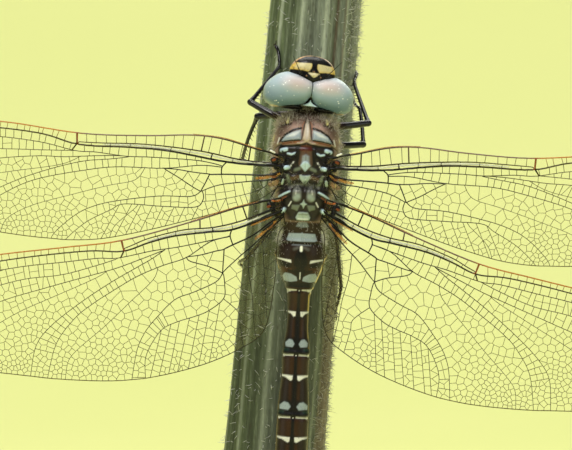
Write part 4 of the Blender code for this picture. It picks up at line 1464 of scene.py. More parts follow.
    def eye_points(self) -> Array:
        """The right eye's points: the lens, fitted between its front and rear edges from above."""
        points = self.eye_ball().points[0] + np.array(self.eye_centre)
        share = np.abs(points[:, 0] - self.eye_centre[0]) / self.eye_semi[0]
        edge = self.eye_semi[1] * np.maximum(1 - share**self.eye_power, 1e-4) ** (1 / self.eye_power)
        place = np.clip((points[:, 1] - self.eye_centre[1]) / edge, -1.0, 1.0)
        place *= np.where(place < 0, 1 + 0.35 * (1 - place**2), 1.0)
        across = np.maximum(points[:, 0], 0.0)
        front = np.interp(across, *smooth_curve(self.eye_front, 6).T)
        rear = np.interp(across, *smooth_curve(self.eye_rear, 6).T)
        points[:, 1] = (front + rear) / 2 + place * (front - rear) / 2
        crease = np.exp(-((across / 0.3) ** 2)) * (points[:, 2] > 0.5)
        points[:, 2] -= 0.16 * crease
        points[:, 0] = np.maximum(points[:, 0], 0.02)
        return points

    def eyes(self, matrix: Matrix) -> None:
        """Two eyes that meet along the crown, the dark seam between them and the rims behind them.

        Args:
            matrix: the head's frame.
        """
        finish = EyeFinish().make()
        rim = ShellFinish("eye_rim_shell", 0.3, 0.2).make()
        right = self.eye_points()
        around = 2 * self.eye_detail
        rings = right[: around * (self.eye_detail - 1)].reshape(self.eye_detail - 1, around, 3)
        seam = []
        for ring in rings:
            inner = ring[ring[:, 0] < 0.03]
            if len(inner) and inner[:, 2].max() > 1.0:
                seam.append((0.0, inner[inner[:, 2].argmax(), 1], inner[:, 2].max() + 0.015))
        draft = Draft()
        draft.add_tube(np.array(seam), np.full(len(seam), 0.035), 8, Tint.BLACK)
        draft.build("eye_seam", rim, matrix, "skin")
        edge = rings[int(self.eye_detail * 0.945)]
        edge = edge[(edge[:, 0] > 0.1) & (edge[:, 2] > -2.3)]
        edge = edge[np.argsort(np.arctan2(edge[:, 2] + 0.4, edge[:, 0] - 1.4))][::-1]
        for side, sign in (("right", 1), ("left", -1)):
            mirror = np.array([sign, 1.0, 1.0])
            draft = self.eye_ball()
            draft.points[0] = right * mirror
            if sign < 0:
                draft.faces = [face[::-1] for face in draft.faces]
            draft.build(f"eye_ball_{side}", finish, matrix, "eye", (f"eye_{side}",))
            draft = Draft()
            path = (edge + np.array([0.0, -0.05, 0.0])) * mirror
            draft.add_tube(path, np.full(len(path), 0.11), 10, Tint.BLACK)
            draft.add_blob(mirror * (3.3, -1.93, 0.1), (0.5, 0.2, 1.3), Tint.BEIGE, 2.4, 18)
            draft.add_blob(mirror * (1.85, -1.88, 0.5), (1.3, 0.28, 1.6), Tint.BLACK, 2.4, 18)
            draft.build(f"eye_rim_{side}", rim, matrix, "skin")

    def small_parts(self, matrix: Matrix) -> None:
        """The pale plate behind the seam, the simple eyes and the feelers.

        Args:
            matrix: the head's frame.
        """
        draft = Draft()
        rows = []
        turn = circle(24)
        for share in np.linspace(0.0, 1.0, 14):
            wide = 0.03 + 0.86 * share**2
            y = np.full(24, -1.06 - 0.6 * share)
            rows.append(stacked(wide * np.cos(turn), y, 2.05 - 0.12 * share + 0.26 * np.sin(turn)))
        draft.add_rows(np.array(rows), Tint.PALE_BLUE)
        draft.build("crown_plate", ShellFinish("crown_shell", 0.35, 0.15).make(), matrix, "skin")
        draft = Draft()
        for x, y, z, radius in ((0.0, 1.8, 1.98, 0.12), (0.72, 1.34, 2.02, 0.1), (-0.72, 1.34, 2.02, 0.1)):
            draft.add_blob((x, y, z), (radius, radius, radius), (0.2, 0.1, 0.05), detail=10)
        draft.build("simple_eyes", BEAD.make(), matrix, "eye")
        horn = ShellFinish("feeler_shell", 0.3, 0.2).make()
        for side in ("right", "left"):
            line = middle_line(f"antenna_{side}", np.array(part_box("eye_" + side)[0]) / MM)
            root, tip = line[0], line[2]
            if root[2] > tip[2]:
                root, tip = tip, root
            reach = tip - root
            end = tip + reach * 0.22 + (0, 0.1, 0)
            path = smooth_curve([root - reach * 0.25, root, root + reach * 0.4, end], 8)
            share = np.linspace(0, 1, len(path))
            radii = np.interp(share, [0, 0.18, 0.3, 0.34, 1], [0.17, 0.16, 0.13, 0.05, 0.025])
            draft = Draft()
            draft.add_tube(path, radii, 10, Tint.BLACK)
            draft.build(f"feeler_{side}", horn, None, "leg", (f"antenna_{side}",))

    def build(self, matrix: Matrix) -> None:
        """Makes the whole head.

        Args:
            matrix: the head's frame.
        """
        self.skin(matrix)
        self.eyes(matrix)
        self.small_parts(matrix)


# ----- legs


@dataclass
class Leg:
    """One leg: a hip piece, a thigh, a thin spiny shin, three foot joints and two claws.

    The lift is how much nearer the head the hip lies than the solid's, and the wrap is how many degrees
    the toes reach on round the stem.
    """

    name: str
    lift: float = 0.0
    wrap: float = 0.0
    thigh_radius: float = 0.42
    shin_radius: float = 0.24
    foot_radius: float = 0.17
    spines: int = 11
    spine_length: float = 1.0

    def build(self, stem: Stem, finish: Material, claw_finish: Material) -> None:
        """Makes the leg along the solids' own middle lines, with its foot lying on the stem.

        Args:
            stem: the stem that it holds.
            finish: its material.
            claw_finish: the claws' material.
        """
        shin = middle_line(f"tibia_{self.name}")
        thigh = middle_line(f"femur_{self.name}", None)
        if np.linalg.norm(thigh[2] - shin[1]) > np.linalg.norm(thigh[0] - shin[1]):
            thigh = thigh[::-1]
        thigh = thigh + np.array([[0.7, 0.0, 2.1], [0.45, 0.0, 1.2], [0.22, 0.0, 0.4]]) * self.lift
        shin = middle_line(f"tibia_{self.name}", thigh[2])
        foot = middle_line(f"tarsus_{self.name}", shin[2])
        knee = (thigh[2] + shin[0]) / 2
        heel = (shin[2] + foot[0]) / 2
        toe = foot[2] + unit(foot[2] - foot[1]) * 0.15
        self.thigh(thigh, knee, finish)
        self.shin(knee, shin, heel, finish)
        self.foot(self.gripping(smooth_curve([heel, foot[1], toe], 16), stem), stem, finish, claw_finish)

    def gripping(self, path: Array, stem: Stem) -> Array:
        """The foot's path, bent so that it comes to lie on the stem's skin.

        Args:
            path: the foot's middle line.
            stem: the stem that it holds.

        Returns:
            The bent path.
        """
        share = np.linspace(0.0, 1.0, len(path))
        centre = stem.axis(path[:, 2])
        out = path - centre
        turn = np.arctan2(out[:, 0], -out[:, 1]) + math.radians(self.wrap) * share**1.5
        reach = np.hypot(out[:, 0], out[:, 1])
        reach += (stem.radius(path[:, 2], turn) + self.foot_radius - reach) * ease(share, 0.0, 0.75)
        return centre + stacked(reach * np.sin(turn), -reach * np.cos(turn), np.zeros_like(reach))

    def thigh(self, line: Array, knee: Array, finish: Material) -> None:
        """The hip joint and the thigh, red-brown near the body and black at the knee.

        Args:
            line: the thigh's middle line.
            knee: the knee's middle.
            finish: its material.
        """
        root = line[0] - unit(line[1] - line[0]) * 0.7
        path = smooth_curve([root, line[0], line[1], knee], 12)
        share = np.linspace(0, 1, len(path))
        radii = self.thigh_radius * np.interp(share, [0, 0.25, 0.6, 0.93, 1], [1.1, 1.12, 0.92, 0.82, 0.86])
        fade = ease(share, 0.75, 0.2)[:, None]
        colour = rgb(Tint.BLACK) * (1 - fade) + rgb(Tint.RED_BROWN) * fade * 0.6
        draft = Draft()
        draft.add_tube(path, radii, 18, colour, flat=0.86)
        draft.add_blob(root, (0.62, 0.62, 0.62), Tint.BROWN, detail=12)
        draft.add_blob(knee, (0.34, 0.34, 0.34), Tint.BLACK, detail=12)
        along = unit(line[2] - line[0])
        for row in (-0.35, 0.35):
            self.spine_row(draft, path[16:-3], along, row, 9, 0.36, 0.9)
        draft.build(f"thigh_{self.name}", finish, None, "leg", (f"femur_{self.name}",))

    def spine_row(
        self,
        draft: Draft,
        path: Array,
        along: Array,
        row: float,
        count: int,
        length: float,
        lean: float,
    ) -> None:
        """A row of spines down the inner side of a leg piece, leaning towards the foot.

        Args:
            draft: the mesh that they are added to.
            path: the stretch of the leg's middle line that carries them.
            along: the leg piece's own direction.
            row: how far the row lies to one side.
            count: how many spines.
            length: each spine's length.
            lean: how much they lean along the leg.
        """
        inward = np.array([0.0, 0.0, -1.0]) - along * -along[2]
        inward = unit(inward if np.linalg.norm(inward) > 0.2 else np.array([0.0, 1.0, 0.0]))
        sideways = np.cross(along, inward)
        for place in np.linspace(0, len(path) - 1, count).astype(int):
            out = unit(inward + sideways * row * 2.2 + along * lean)
            start = path[place] + out * 0.08
            stop = start + out * length
            middle = (start + stop) / 2 + along * 0.04
            draft.add_tube(np.array([start, middle, stop]), [0.045, 0.032, 0.01], 5, Tint.BLACK)

    def shin(self, knee: Array, line: Array, heel: Array, finish: Material) -> None:
        """The thin straight shin with its two rows of long spines.

        Args:
            knee: the knee's middle.
            line: the shin's middle line.
            heel: the shin's lower end.
            finish: its material.
        """
        path = smooth_curve([knee, line[1], heel], 14)
        share = np.linspace(0, 1, len(path))
        radii = self.shin_radius * np.interp(share, [0, 0.08, 0.2, 0.9, 1], [1.1, 1.2, 0.92, 0.8, 0.95])
        draft = Draft()
        draft.add_tube(path, radii, 14, Tint.BLACK, flat=0.9)
        along = unit(heel - knee)
        for row in (-0.4, 0.4):
            self.spine_row(draft, path[4:-2], along, row, self.spines, 0.55 * self.spine_length, 0.8)
        draft.build(f"shin_{self.name}", finish, None, "leg", (f"tibia_{self.name}",))

    def foot(self, path: Array, stem: Stem, finish: Material, claw_finish: Material) -> None:
        """Three foot joints, each wider at its end, and a pair of hooked claws.

        Args:
            path: the foot's middle line.
            stem: the stem that it holds.
            finish: its material.
            claw_finish: the claws' material.
        """
        draft = Draft()
        ends = (0, int(len(path) * 0.22), int(len(path) * 0.5), len(path) - 1)
        for first, last in zip(ends, ends[1:]):
            piece = path[first : last + 1]
            share = np.linspace(0, 1, len(piece))
            radii = self.foot_radius * np.interp(share, [0, 0.15, 0.85, 1], [0.7, 0.85, 1.15, 0.9])
            draft.add_tube(piece, radii, 12, Tint.BLACK)
        draft.build(f"foot_{self.name}", finish, None, "leg", (f"tarsus_{self.name}",))
        toe = path[-1]
        along = unit(toe - path[-6])
        inward = unit(stem.axis(toe[2]) - toe)
        sideways = np.cross(along, inward)
        claws = Draft()
        for sign in (1, -1):
            out = along + sideways * sign * 0.55
            hook = [toe + out * a + inward * b for a, b in ((0, 0), (0.28, 0), (0.48, 0.14), (0.52, 0.36))]
            claws.add_tube(smooth_curve(hook, 5), np.linspace(0.075, 0.02, 16), 8, Tint.DARK_BROWN)
            tooth = [toe + out * 0.26, toe + out * 0.34 + inward * 0.2]
            claws.add_tube(np.array(tooth), [0.045, 0.015], 6, Tint.DARK_BROWN)
        claws.build(f"claws_{self.name}", claw_finish, None, "leg")


LEG_POSES = {  # each leg's lift and wrap, where it has them
    "front_left": (0.0, -14.0),
    "front_right": (0.0, 16.0),
    "middle_left": (1.3, 0.0),
    "hind_left": (0.0, -85.0),
    "hind_right": (0.0, 20.0),
}


def build_legs(stem: Stem) -> None:
    """All six legs.

    Args:
        stem: the stem that it holds.
    """
    finish = ShellFinish("leg_shell", 0.24, 0.3, 10.0, 0.012, 0.35).make()
    claw_finish = ShellFinish("claw_shell", 0.2, 0.2, 12.0, 0.008, 0.3).make()
    for pair in ("front", "middle", "hind"):
        for side in ("left", "right"):
            name = f"{pair}_{side}"
            Leg(name, *LEG_POSES.get(name, ())).build(stem, finish, claw_finish)


# ----- wings


@dataclass(frozen=True)
class Vein:
    """A kind of main vein: its radius at both ends, whether it is a ridge or a dip, and its colour."""

    radii: Pair
    rise: float = 0.0
    tint: Tint = Tint.BLACK


@dataclass(frozen=True)
class Ladder:
    """Plain cross veins from one main vein to another, evenly spread along a stretch of the first.

    Each goes to the nearest place on the other vein, moved by the lean in shares of the gap.
    """

    upper: str
    lower: str
    start: float
    stop: float
    count: int
    thick: tuple[int, ...] = ()
    lean: Pair = (0.0, 0.0)


@dataclass(frozen=True)
class StainAndSheen:
    """A stretch beside a vein, real amber or a painted cream sheen: its course in the wing's plane, half
    width, colour.
    """

    course: Outline
    reach: float
    tint: Tint
    cover: float = 0.75


@dataclass(frozen=True)
class WingPlan:
    """The veins of one pair of wings, in the wing's own plane: x outwards and y forwards from its root."""

    name: str
    root: Triple
    pitch: float
    sweep: dict[str, float]
    outline: Outline
    leading: int
    courses: dict[str, Outline]
    ladders: tuple[Ladder, ...]
    undivided: Outline
    stains_and_sheen: tuple[StainAndSheen, ...]
    stigma: Pair
    nodus: float


VEINS = {
    "Sc": Vein((0.085, 0.045), -0.14, Tint.BROWN),
    "R": Vein((0.12, 0.03), 0.14),
    "arc": Vein((0.065, 0.06)),
    "RP": Vein((0.05, 0.035), -0.12),
    "RP2": Vein((0.04, 0.03), -0.1),
    "IR1": Vein((0.03, 0.028), 0.08),
    "IR2": Vein((0.045, 0.03), 0.1),
    "Rspl": Vein((0.03, 0.028)),
    "RP34": Vein((0.045, 0.03), -0.1),
    "MA": Vein((0.05, 0.03), 0.1),
    "Cu": Vein((0.1, 0.065), -0.08),
    "tri_top": Vein((0.06, 0.05)),
    "tri_in": Vein((0.06, 0.055)),
    "tri_out": Vein((0.055, 0.05)),
    "MP": Vein((0.05, 0.03), -0.1),
    "CuA": Vein((0.05, 0.03), 0.08),
    "CuA2": Vein((0.03, 0.028)),
    "A1": Vein((0.07, 0.045), -0.05),
    "A2": Vein((0.035, 0.03)),
    "Mspl": Vein((0.03, 0.026)),
    "CuA2_hind": Vein((0.04, 0.03)),
    "A2_hind": Vein((0.04, 0.03), 0.05),
    "A3": Vein((0.035, 0.028)),
}

FOREWING = WingPlan(
    name="forewing",
    root=(2.95, 5.05, 3.1),
    pitch=13.0,
    sweep={"right": 2.8, "left": 3.7},
    outline=(
        (-0.8, 0.95), (1.9, 1.3), (5.55, 1.99), (8.73, 2.02), (13.33, 1.43), (19.69, 0.92), (27, 1.2),
        (33.5, 1), (38.3, 0.2), (41.5, -1.35), (43.2, -3.4), (42.2, -5.9), (38.2, -8.3), (32, -9.75),
        (24, -10.25), (18.1, -9.93), (13.33, -8.65), (7.78, -6.59), (2.22, -4.29), (0.3, -3), (-0.9, -1.75),
    ),
    leading=9,
    courses={
        "Sc": ((-0.8, 0.1), (3.49, 0.05), (7.78, 0.43), (13.33, 0.51), (18, 0.14), (20.1, -0.02)),
        "R": (
            (-0.8, -0.1), (4.76, -0.29), (10.71, 0.16), (14.92, 0.05), (19.85, -0.27), (23.94, 0.44),
            (30, 0.5), (35, 0.12), (38.6, -0.72), (41.2, -2.2), (42.9, -3.9),
        ),
        "arc": ((4.84, -0.25), (5.35, -0.87), (5.35, -1.67)),
        "RP": (
            (5.35, -0.79), (7.94, -0.56), (12.54, -0.76), (14.92, -0.92), (18.1, -0.83), (20.24, -0.91),
            (23.94, -0.43), (29, -0.42), (34, -0.95), (38.5, -2.3), (41.3, -4), (42.85, -5.1),
        ),
        "RP2": ((20.24, -0.91), (23.94, -1.27), (28.5, -1.75), (33, -2.6), (38, -4.3), (41.9, -6.1)),
        "IR1": ((28.5, -0.42), (31, -1.25), (36, -2.6), (40.3, -4.35), (42.5, -5.6)),
        "IR2": (
            (14.92, -0.92), (17.31, -1.11), (21.12, -1.64), (23.94, -1.86), (28.5, -2.75), (33.5, -4.3),
            (38, -6.4), (39.9, -7.6),
        ),
        "Rspl": ((19.5, -1.4), (21.5, -2.5), (26, -3.65), (31, -5.1), (35, -7), (36.6, -8.85)),
        "RP34": (
            (14.76, -0.92), (16.51, -1.35), (19.69, -2.06), (23.94, -3.73), (27.3, -5.5), (30.6, -7.7),
            (32.6, -9.65),
        ),
        "MA": (
            (5.35, -0.92), (7.62, -0.95), (11.19, -1.67), (15.72, -2.06), (18.89, -2.78), (23.94, -4.37),
            (27.2, -6.3), (29.6, -8.4), (30.8, -9.95),
        ),
        "Cu": ((-0.8, -0.62), (0.87, -1.19), (2.38, -1.4), (5.35, -1.67), (6.51, -1.78)),
        "tri_top": ((6.51, -1.78), (9.21, -1.7), (11.19, -1.67)),
        "tri_in": ((6.51, -1.78), (7.22, -3.65)),
        "tri_out": ((7.22, -3.65), (9.21, -2.7), (11.19, -1.67)),
        "MP": (
            (7.22, -3.65), (8.17, -4.29), (11.43, -4.61), (15.72, -5.64), (18.1, -6.59), (19.69, -7.7),
            (21.28, -9.37), (21.75, -10.16),
        ),
        "CuA": (
            (6.98, -3.78), (6.9, -4.45), (7.62, -5.27), (10.95, -5.59), (14.76, -5.83), (16.03, -6.59),
            (18.1, -7.9), (19.4, -9.1), (20.3, -10.15),
        ),
        "CuA2": ((13.33, -5.8), (15.4, -8.1), (15.88, -9.45)),
        "A1": ((-0.8, -1.1), (0.87, -1.78), (2.38, -2.06), (5.39, -2.73), (7.22, -3.65)),
        "A2": ((0.55, -2.1), (1.58, -2.91), (3.13, -3.6), (5.43, -4.29), (7, -4.66)),
        "Mspl": (
            (13, -1.72), (13.9, -3.2), (16.51, -4.13), (19.69, -5.32), (23.94, -6.99), (26.3, -8.6),
            (26.9, -10.2),
        ),
    },
    ladders=(
        Ladder("C", "Sc", 1.7, 19.2, 19, (1, 6)),
        Ladder("Sc", "R", 2.4, 18.8, 9, (2,)),
        Ladder("C", "R", 21.2, 35.2, 20),
        Ladder("C", "R", 39.6, 41.2, 3),
        Ladder("R", "RP", 7.4, 19.2, 15),
        Ladder("R", "RP", 20.6, 38, 22),
        Ladder("RP", "MA", 7.9, 14.3, 8),
        Ladder("RP", "RP2", 21.3, 29, 11),
        Ladder("IR2", "RP34", 16.4, 24, 10),
        Ladder("RP34", "MA", 15.4, 30, 21),
        Ladder("tri_top", "tri_out", 7.6, 9.9, 3),
        Ladder("MP", "CuA", 8.4, 14.6, 8),
        Ladder("Cu", "A1", 1.6, 5.4, 4),
        Ladder("A1", "A2", 1.5, 6.7, 7),
        Ladder("A2", "margin", 1.9, 6.6, 6),
        Ladder("CuA", "margin", 7.4, 15.2, 8, lean=(0.55, -0.9)),
    ),
    undivided=((2.5, -0.8), (37.4, -0.1), (6.3, -0.5)),
    stains_and_sheen=(
        # Painted highlight: the cream strip between Sc and R stands for the sheen along those veins.
        StainAndSheen(((0.4, 0), (4, -0.1), (7.8, 0.22), (13.3, 0.33), (17.5, 0.02)), 0.09, Tint.CREAM),
        StainAndSheen(((0.2, 1.14), (1.9, 1.4), (5.5, 2.1), (8.6, 2.14)), 0.05, Tint.AMBER, 0.5),
        StainAndSheen(((-0.5, -0.9), (0.87, -1.46), (1.9, -1.68)), 0.15, Tint.AMBER, 0.5),
        StainAndSheen(((-0.4, -1.7), (0.5, -2.2)), 0.3, Tint.ORANGE_BROWN, 0.35),
    ),
    stigma=(35.7, 39),
    nodus=20.2,
)

HINDWING = WingPlan(
    name="hindwing",
    root=(3.15, 0.42, 2.85),
    pitch=6.0,
    sweep={"right": -14.0, "left": -11.7},
    outline=(
        (-1.1, 1.1), (3.24, 0.81), (8.27, 0.09), (15.29, -0.66), (21.2, -0.45), (28.5, -0.15), (34, -0.5),
        (38.3, -1.65), (41.3, -3.6), (42.3, -5.6), (41, -7.9), (36.8, -10.2), (30.5, -11.75),
        (23.05, -13.73), (16.41, -14.79), (10.01, -14.48), (5.17, -13.29), (2.53, -11.68), (0.85, -7.21),
        (0.16, -4.1), (-0.35, -2.4), (-1.1, -1.7),
    ),
    leading=8,
    courses={
        "Sc": (
            (-1.1, 0.35), (0.33, 0.02), (3, -0.59), (5.88, -0.8), (9.13, -0.56), (12.54, -0.86),
            (14.4, -1.33), (15.4, -1.58),
        ),
        "R": (
            (-1.1, -0.1), (-0.04, -0.43), (4.03, -1.27), (6.5, -1.19), (9.94, -1.06), (12.67, -1.32),
            (15.46, -1.77), (18.93, -1.17), (25.24, -0.82), (30, -0.85), (34.5, -1.3), (38.2, -2.5),
            (40.6, -4.1), (42, -6.2),
        ),
        "arc": ((4.21, -1.25), (4.54, -1.86), (4.42, -2.81)),
        "RP": (
            (4.55, -1.89), (6.92, -2.06), (9.96, -2.22), (12.45, -2.21), (16.06, -2.4), (18.05, -2.1),
            (21.65, -1.92), (25.53, -1.71), (30, -1.8), (34.5, -2.5), (38.2, -3.9), (40.5, -5.7),
            (41.6, -7.2),
        ),
        "RP2": (
            (16.06, -2.4), (18.26, -2.78), (21.86, -3.19), (25.93, -3.04), (30.5, -3.6), (35, -4.9),
            (38.5, -6.9), (40, -8.6),
        ),
        "IR1": ((27.5, -1.72), (31, -2.65), (35.5, -3.8), (39, -6.1), (40.7, -8.15)),
        "IR2": (
            (11.34, -2.3), (13.96, -2.84), (16.61, -3.36), (19.71, -3.75), (24.22, -4.3), (28.5, -4.9),
            (32.5, -6.1), (36, -8.2), (37.9, -9.75),
        ),
        "Rspl": (
            (17.3, -3.45), (18.6, -4), (22.61, -5.12), (26.92, -6.3), (30.5, -7.8), (33.2, -9.6),
            (34.3, -10.95),
        ),
        "RP34": (
            (11.16, -2.25), (12.68, -2.97), (14.54, -3.66), (17.37, -4.79), (20.87, -6.47), (23.88, -8.22),
            (25.6, -9.9), (26.6, -12.73),
        ),
        "MA": (
            (4.57, -1.94), (6.62, -2.15), (9.22, -3.35), (11.6, -3.8), (14.29, -4.48), (16.92, -5.51),
            (19.6, -6.69), (21.43, -7.8), (23.5, -9.9), (24.9, -13.1),
        ),
        "Cu": ((-1.1, -0.55), (-0.03, -1), (2.15, -2.17), (4.42, -2.81), (5.35, -3.15)),
        "tri_top": ((5.35, -3.15), (7.13, -3.29), (9.22, -3.35)),
        "tri_in": ((5.35, -3.15), (5.87, -5.5)),
        "tri_out": ((5.87, -5.5), (7.05, -4.67), (8.81, -3.89), (9.22, -3.35)),
        "MP": (
            (5.87, -5.5), (6.7, -6.27), (9.07, -6.97), (11.04, -7.45), (13.16, -8.97), (14.53, -10.21),
            (15.61, -11.88), (16.6, -14.78),
        ),
        "CuA": (
            (5.8, -5.6), (5.84, -6.7), (6.17, -8.09), (7.88, -9.07), (9.48, -9.41), (11.03, -9.61),
            (12.67, -10.11), (14, -11.4), (14.9, -12.9), (15.2, -14.8),
        ),
        "CuA2_hind": ((6.17, -8.09), (4.9, -9.73), (4.96, -10.94), (4.97, -13.2)),
        "A1": ((-1.1, -0.8), (1.85, -2.84), (3.78, -4), (5.2, -5), (5.87, -5.5)),
        "A2_hind": ((2.88, -3.5), (3.25, -5.82), (3.28, -8.13), (3.52, -10.55), (3.6, -12.5)),
        "A3": ((1.3, -2.5), (1.6, -4.8), (1.85, -7.4), (2.2, -10.9)),
        "Mspl": (
            (12.2, -3.95), (12.9, -5.1), (15.53, -6.92), (18.47, -9), (21.34, -10.81), (22.6, -11.9),
            (23.2, -13.65),
        ),
    },
    ladders=(
        Ladder("C", "Sc", 1.6, 14.2, 12, (1, 5)),
        Ladder("Sc", "R", 2.2, 13.8, 7, (2,)),
        Ladder("C", "R", 16.4, 34.6, 24),
        Ladder("C", "R", 38.9, 40.6, 3),
        Ladder("R", "RP", 6.2, 15.2, 11),
        Ladder("R", "RP", 16.6, 37.4, 27),
        Ladder("RP", "MA", 6.9, 10.9, 5),
        Ladder("RP", "RP2", 17.4, 28, 15),
        Ladder("RP2", "IR2", 17.5, 27, 12),
        Ladder("IR2", "RP34", 12.9, 17.6, 6),
        Ladder("RP34", "MA", 11.8, 25.6, 24),
        Ladder("tri_top", "tri_out", 6.4, 8, 2),
        Ladder("MP", "CuA", 12.4, 16.4, 10),
        Ladder("Cu", "A1", 0.8, 4.6, 4),
        Ladder("CuA", "margin", 6.7, 13, 7, lean=(0.4, -1.05)),
    ),
    undivided=((2.2, -1.3), (37, -1.75), (5.6, -1.6)),
    stains_and_sheen=(
        # Painted highlight: the cream strip between Sc and R stands for the sheen along those veins.
        StainAndSheen(((0, -0.16), (3.4, -0.93), (6.2, -1), (9.5, -0.81), (12.8, -1.14)), 0.1, Tint.CREAM),
        StainAndSheen(((0.1, 1.1), (3.3, 0.92), (8.2, 0.2)), 0.05, Tint.AMBER, 0.5),
        StainAndSheen(((0, -0.6), (1.2, -0.9), (2.3, -1.18)), 0.09, Tint.AMBER, 0.5),
        StainAndSheen(((-0.2, -1.15), (1, -1.95), (2.1, -2.6)), 0.15, Tint.AMBER, 0.4),
    ),
    stigma=(35.1, 38.5),
    nodus=15.4,
)

NODUS, CROSS, NET, LEADING, HIND, ROOT = -3, -2, -1, 0, 1, 2
"""Kinds of vein. The kinds above ROOT are the plan's own veins, in their order."""

OVERRUN = 0.012
"""How far a vein runs across the one that it meets, so that the two cut each other."""


class Graph:
    """The plane cut up by vein lines: junctions, the stretches between them, and the cells."""

    def __init__(self, lines: list[tuple[Array, int, Array]]) -> None:
        """Cuts the lines where they cross.

        Args:
            lines: for each, its points, its kind and its radius at each point.
        """
        points, edges, self.radius_of, self.kind_of = [], [], [], []
        for line, kind, radii in lines:
            start = len(points)
            points.extend(Vector(p) for p in line)
            edges.extend((start + k, start + k + 1) for k in range(len(line) - 1))
            self.radius_of.extend((radii[:-1] + radii[1:]) / 2)
            self.kind_of.extend([kind] * (len(line) - 1))
        found = delaunay_2d_cdt(points, edges, [], 2, 1e-4)
        self.points = np.array([tuple(p) for p in found[0]])
        self.edges = {}
        for (a, b), sources in zip(found[1], found[4]):
            if a != b and sources:
                best = max(sources, key=lambda s: self.radius_of[s])
                self.edges[(min(a, b), max(a, b))] = (self.radius_of[best], self.kind_of[best])
        self.prune()

    def prune(self) -> None:
        """Removes loose ends, which cells can't have."""
        while True:
            degree = np.zeros(len(self.points), int)
            for a, b in self.edges:
                degree[a] += 1
                degree[b] += 1
            loose = [pair for pair in self.edges if degree[pair[0]] == 1 or degree[pair[1]] == 1]
            if not loose:
                return
            for pair in loose:
                del self.edges[pair]

    def cells(self) -> list[list[int]]:
        """Every face of the plane, with its inside on the left; the outer one runs clockwise."""
        around: dict[int, list[int]] = {}
        for a, b in self.edges:
            around.setdefault(a, []).append(b)
            around.setdefault(b, []).append(a)
        following = {}
        for here, others in around.items():
            gaps = self.points[others] - self.points[here]
            order = [others[k] for k in np.argsort(np.arctan2(gaps[:, 1], gaps[:, 0]))]
            for k, other in enumerate(order):
                following[(other, here)] = (here, order[k - 1])
        faces, seen = [], set()
        for start in following:
            if start in seen:
                continue
            face, step = [], start
            while step not in seen:
                seen.add(step)
                face.append(step[0])
                step = following[step]
            faces.append(face)
        return faces

    def area(self, face: list[int]) -> float:
        """The face's area, negative for the outer one."""
        x, y = self.points[face].T
        return float((x * np.roll(y, -1) - y * np.roll(x, -1)).sum() / 2)


def nearest(line: Array, spot: Array) -> tuple[float, Array]:
    """How far a spot is from a line of points, and the line's nearest place.

    Args:
        line: its points, one in each row.
        spot: the spot.

    Returns:
        The distance and the place.
    """
    a, edge = line[:-1], np.diff(line, axis=0)
    share = np.clip(((spot - a) * edge).sum(1) / np.maximum((edge**2).sum(1), 1e-9), 0, 1)
    near = a + edge * share[:, None]
    gaps = np.hypot(*(near - spot).T)
    return float(gaps.min()), near[gaps.argmin()]


def inside(polygon: Array, spots: Array) -> Array:
    """Which spots lie inside the polygon.

    Args:
        polygon: its corners, in order.
        spots: points, one in each row.

    Returns:
        Whether each spot is inside.
    """
    hits = np.zeros(len(spots), bool)
    for a, b in zip(polygon, np.roll(polygon, -1, axis=0)):
        if a[1] != b[1]:
            spans = (a[1] > spots[:, 1]) != (b[1] > spots[:, 1])
            hits ^= spans & (spots[:, 0] < a[0] + (b[0] - a[0]) * (spots[:, 1] - a[1]) / (b[1] - a[1]))
    return hits


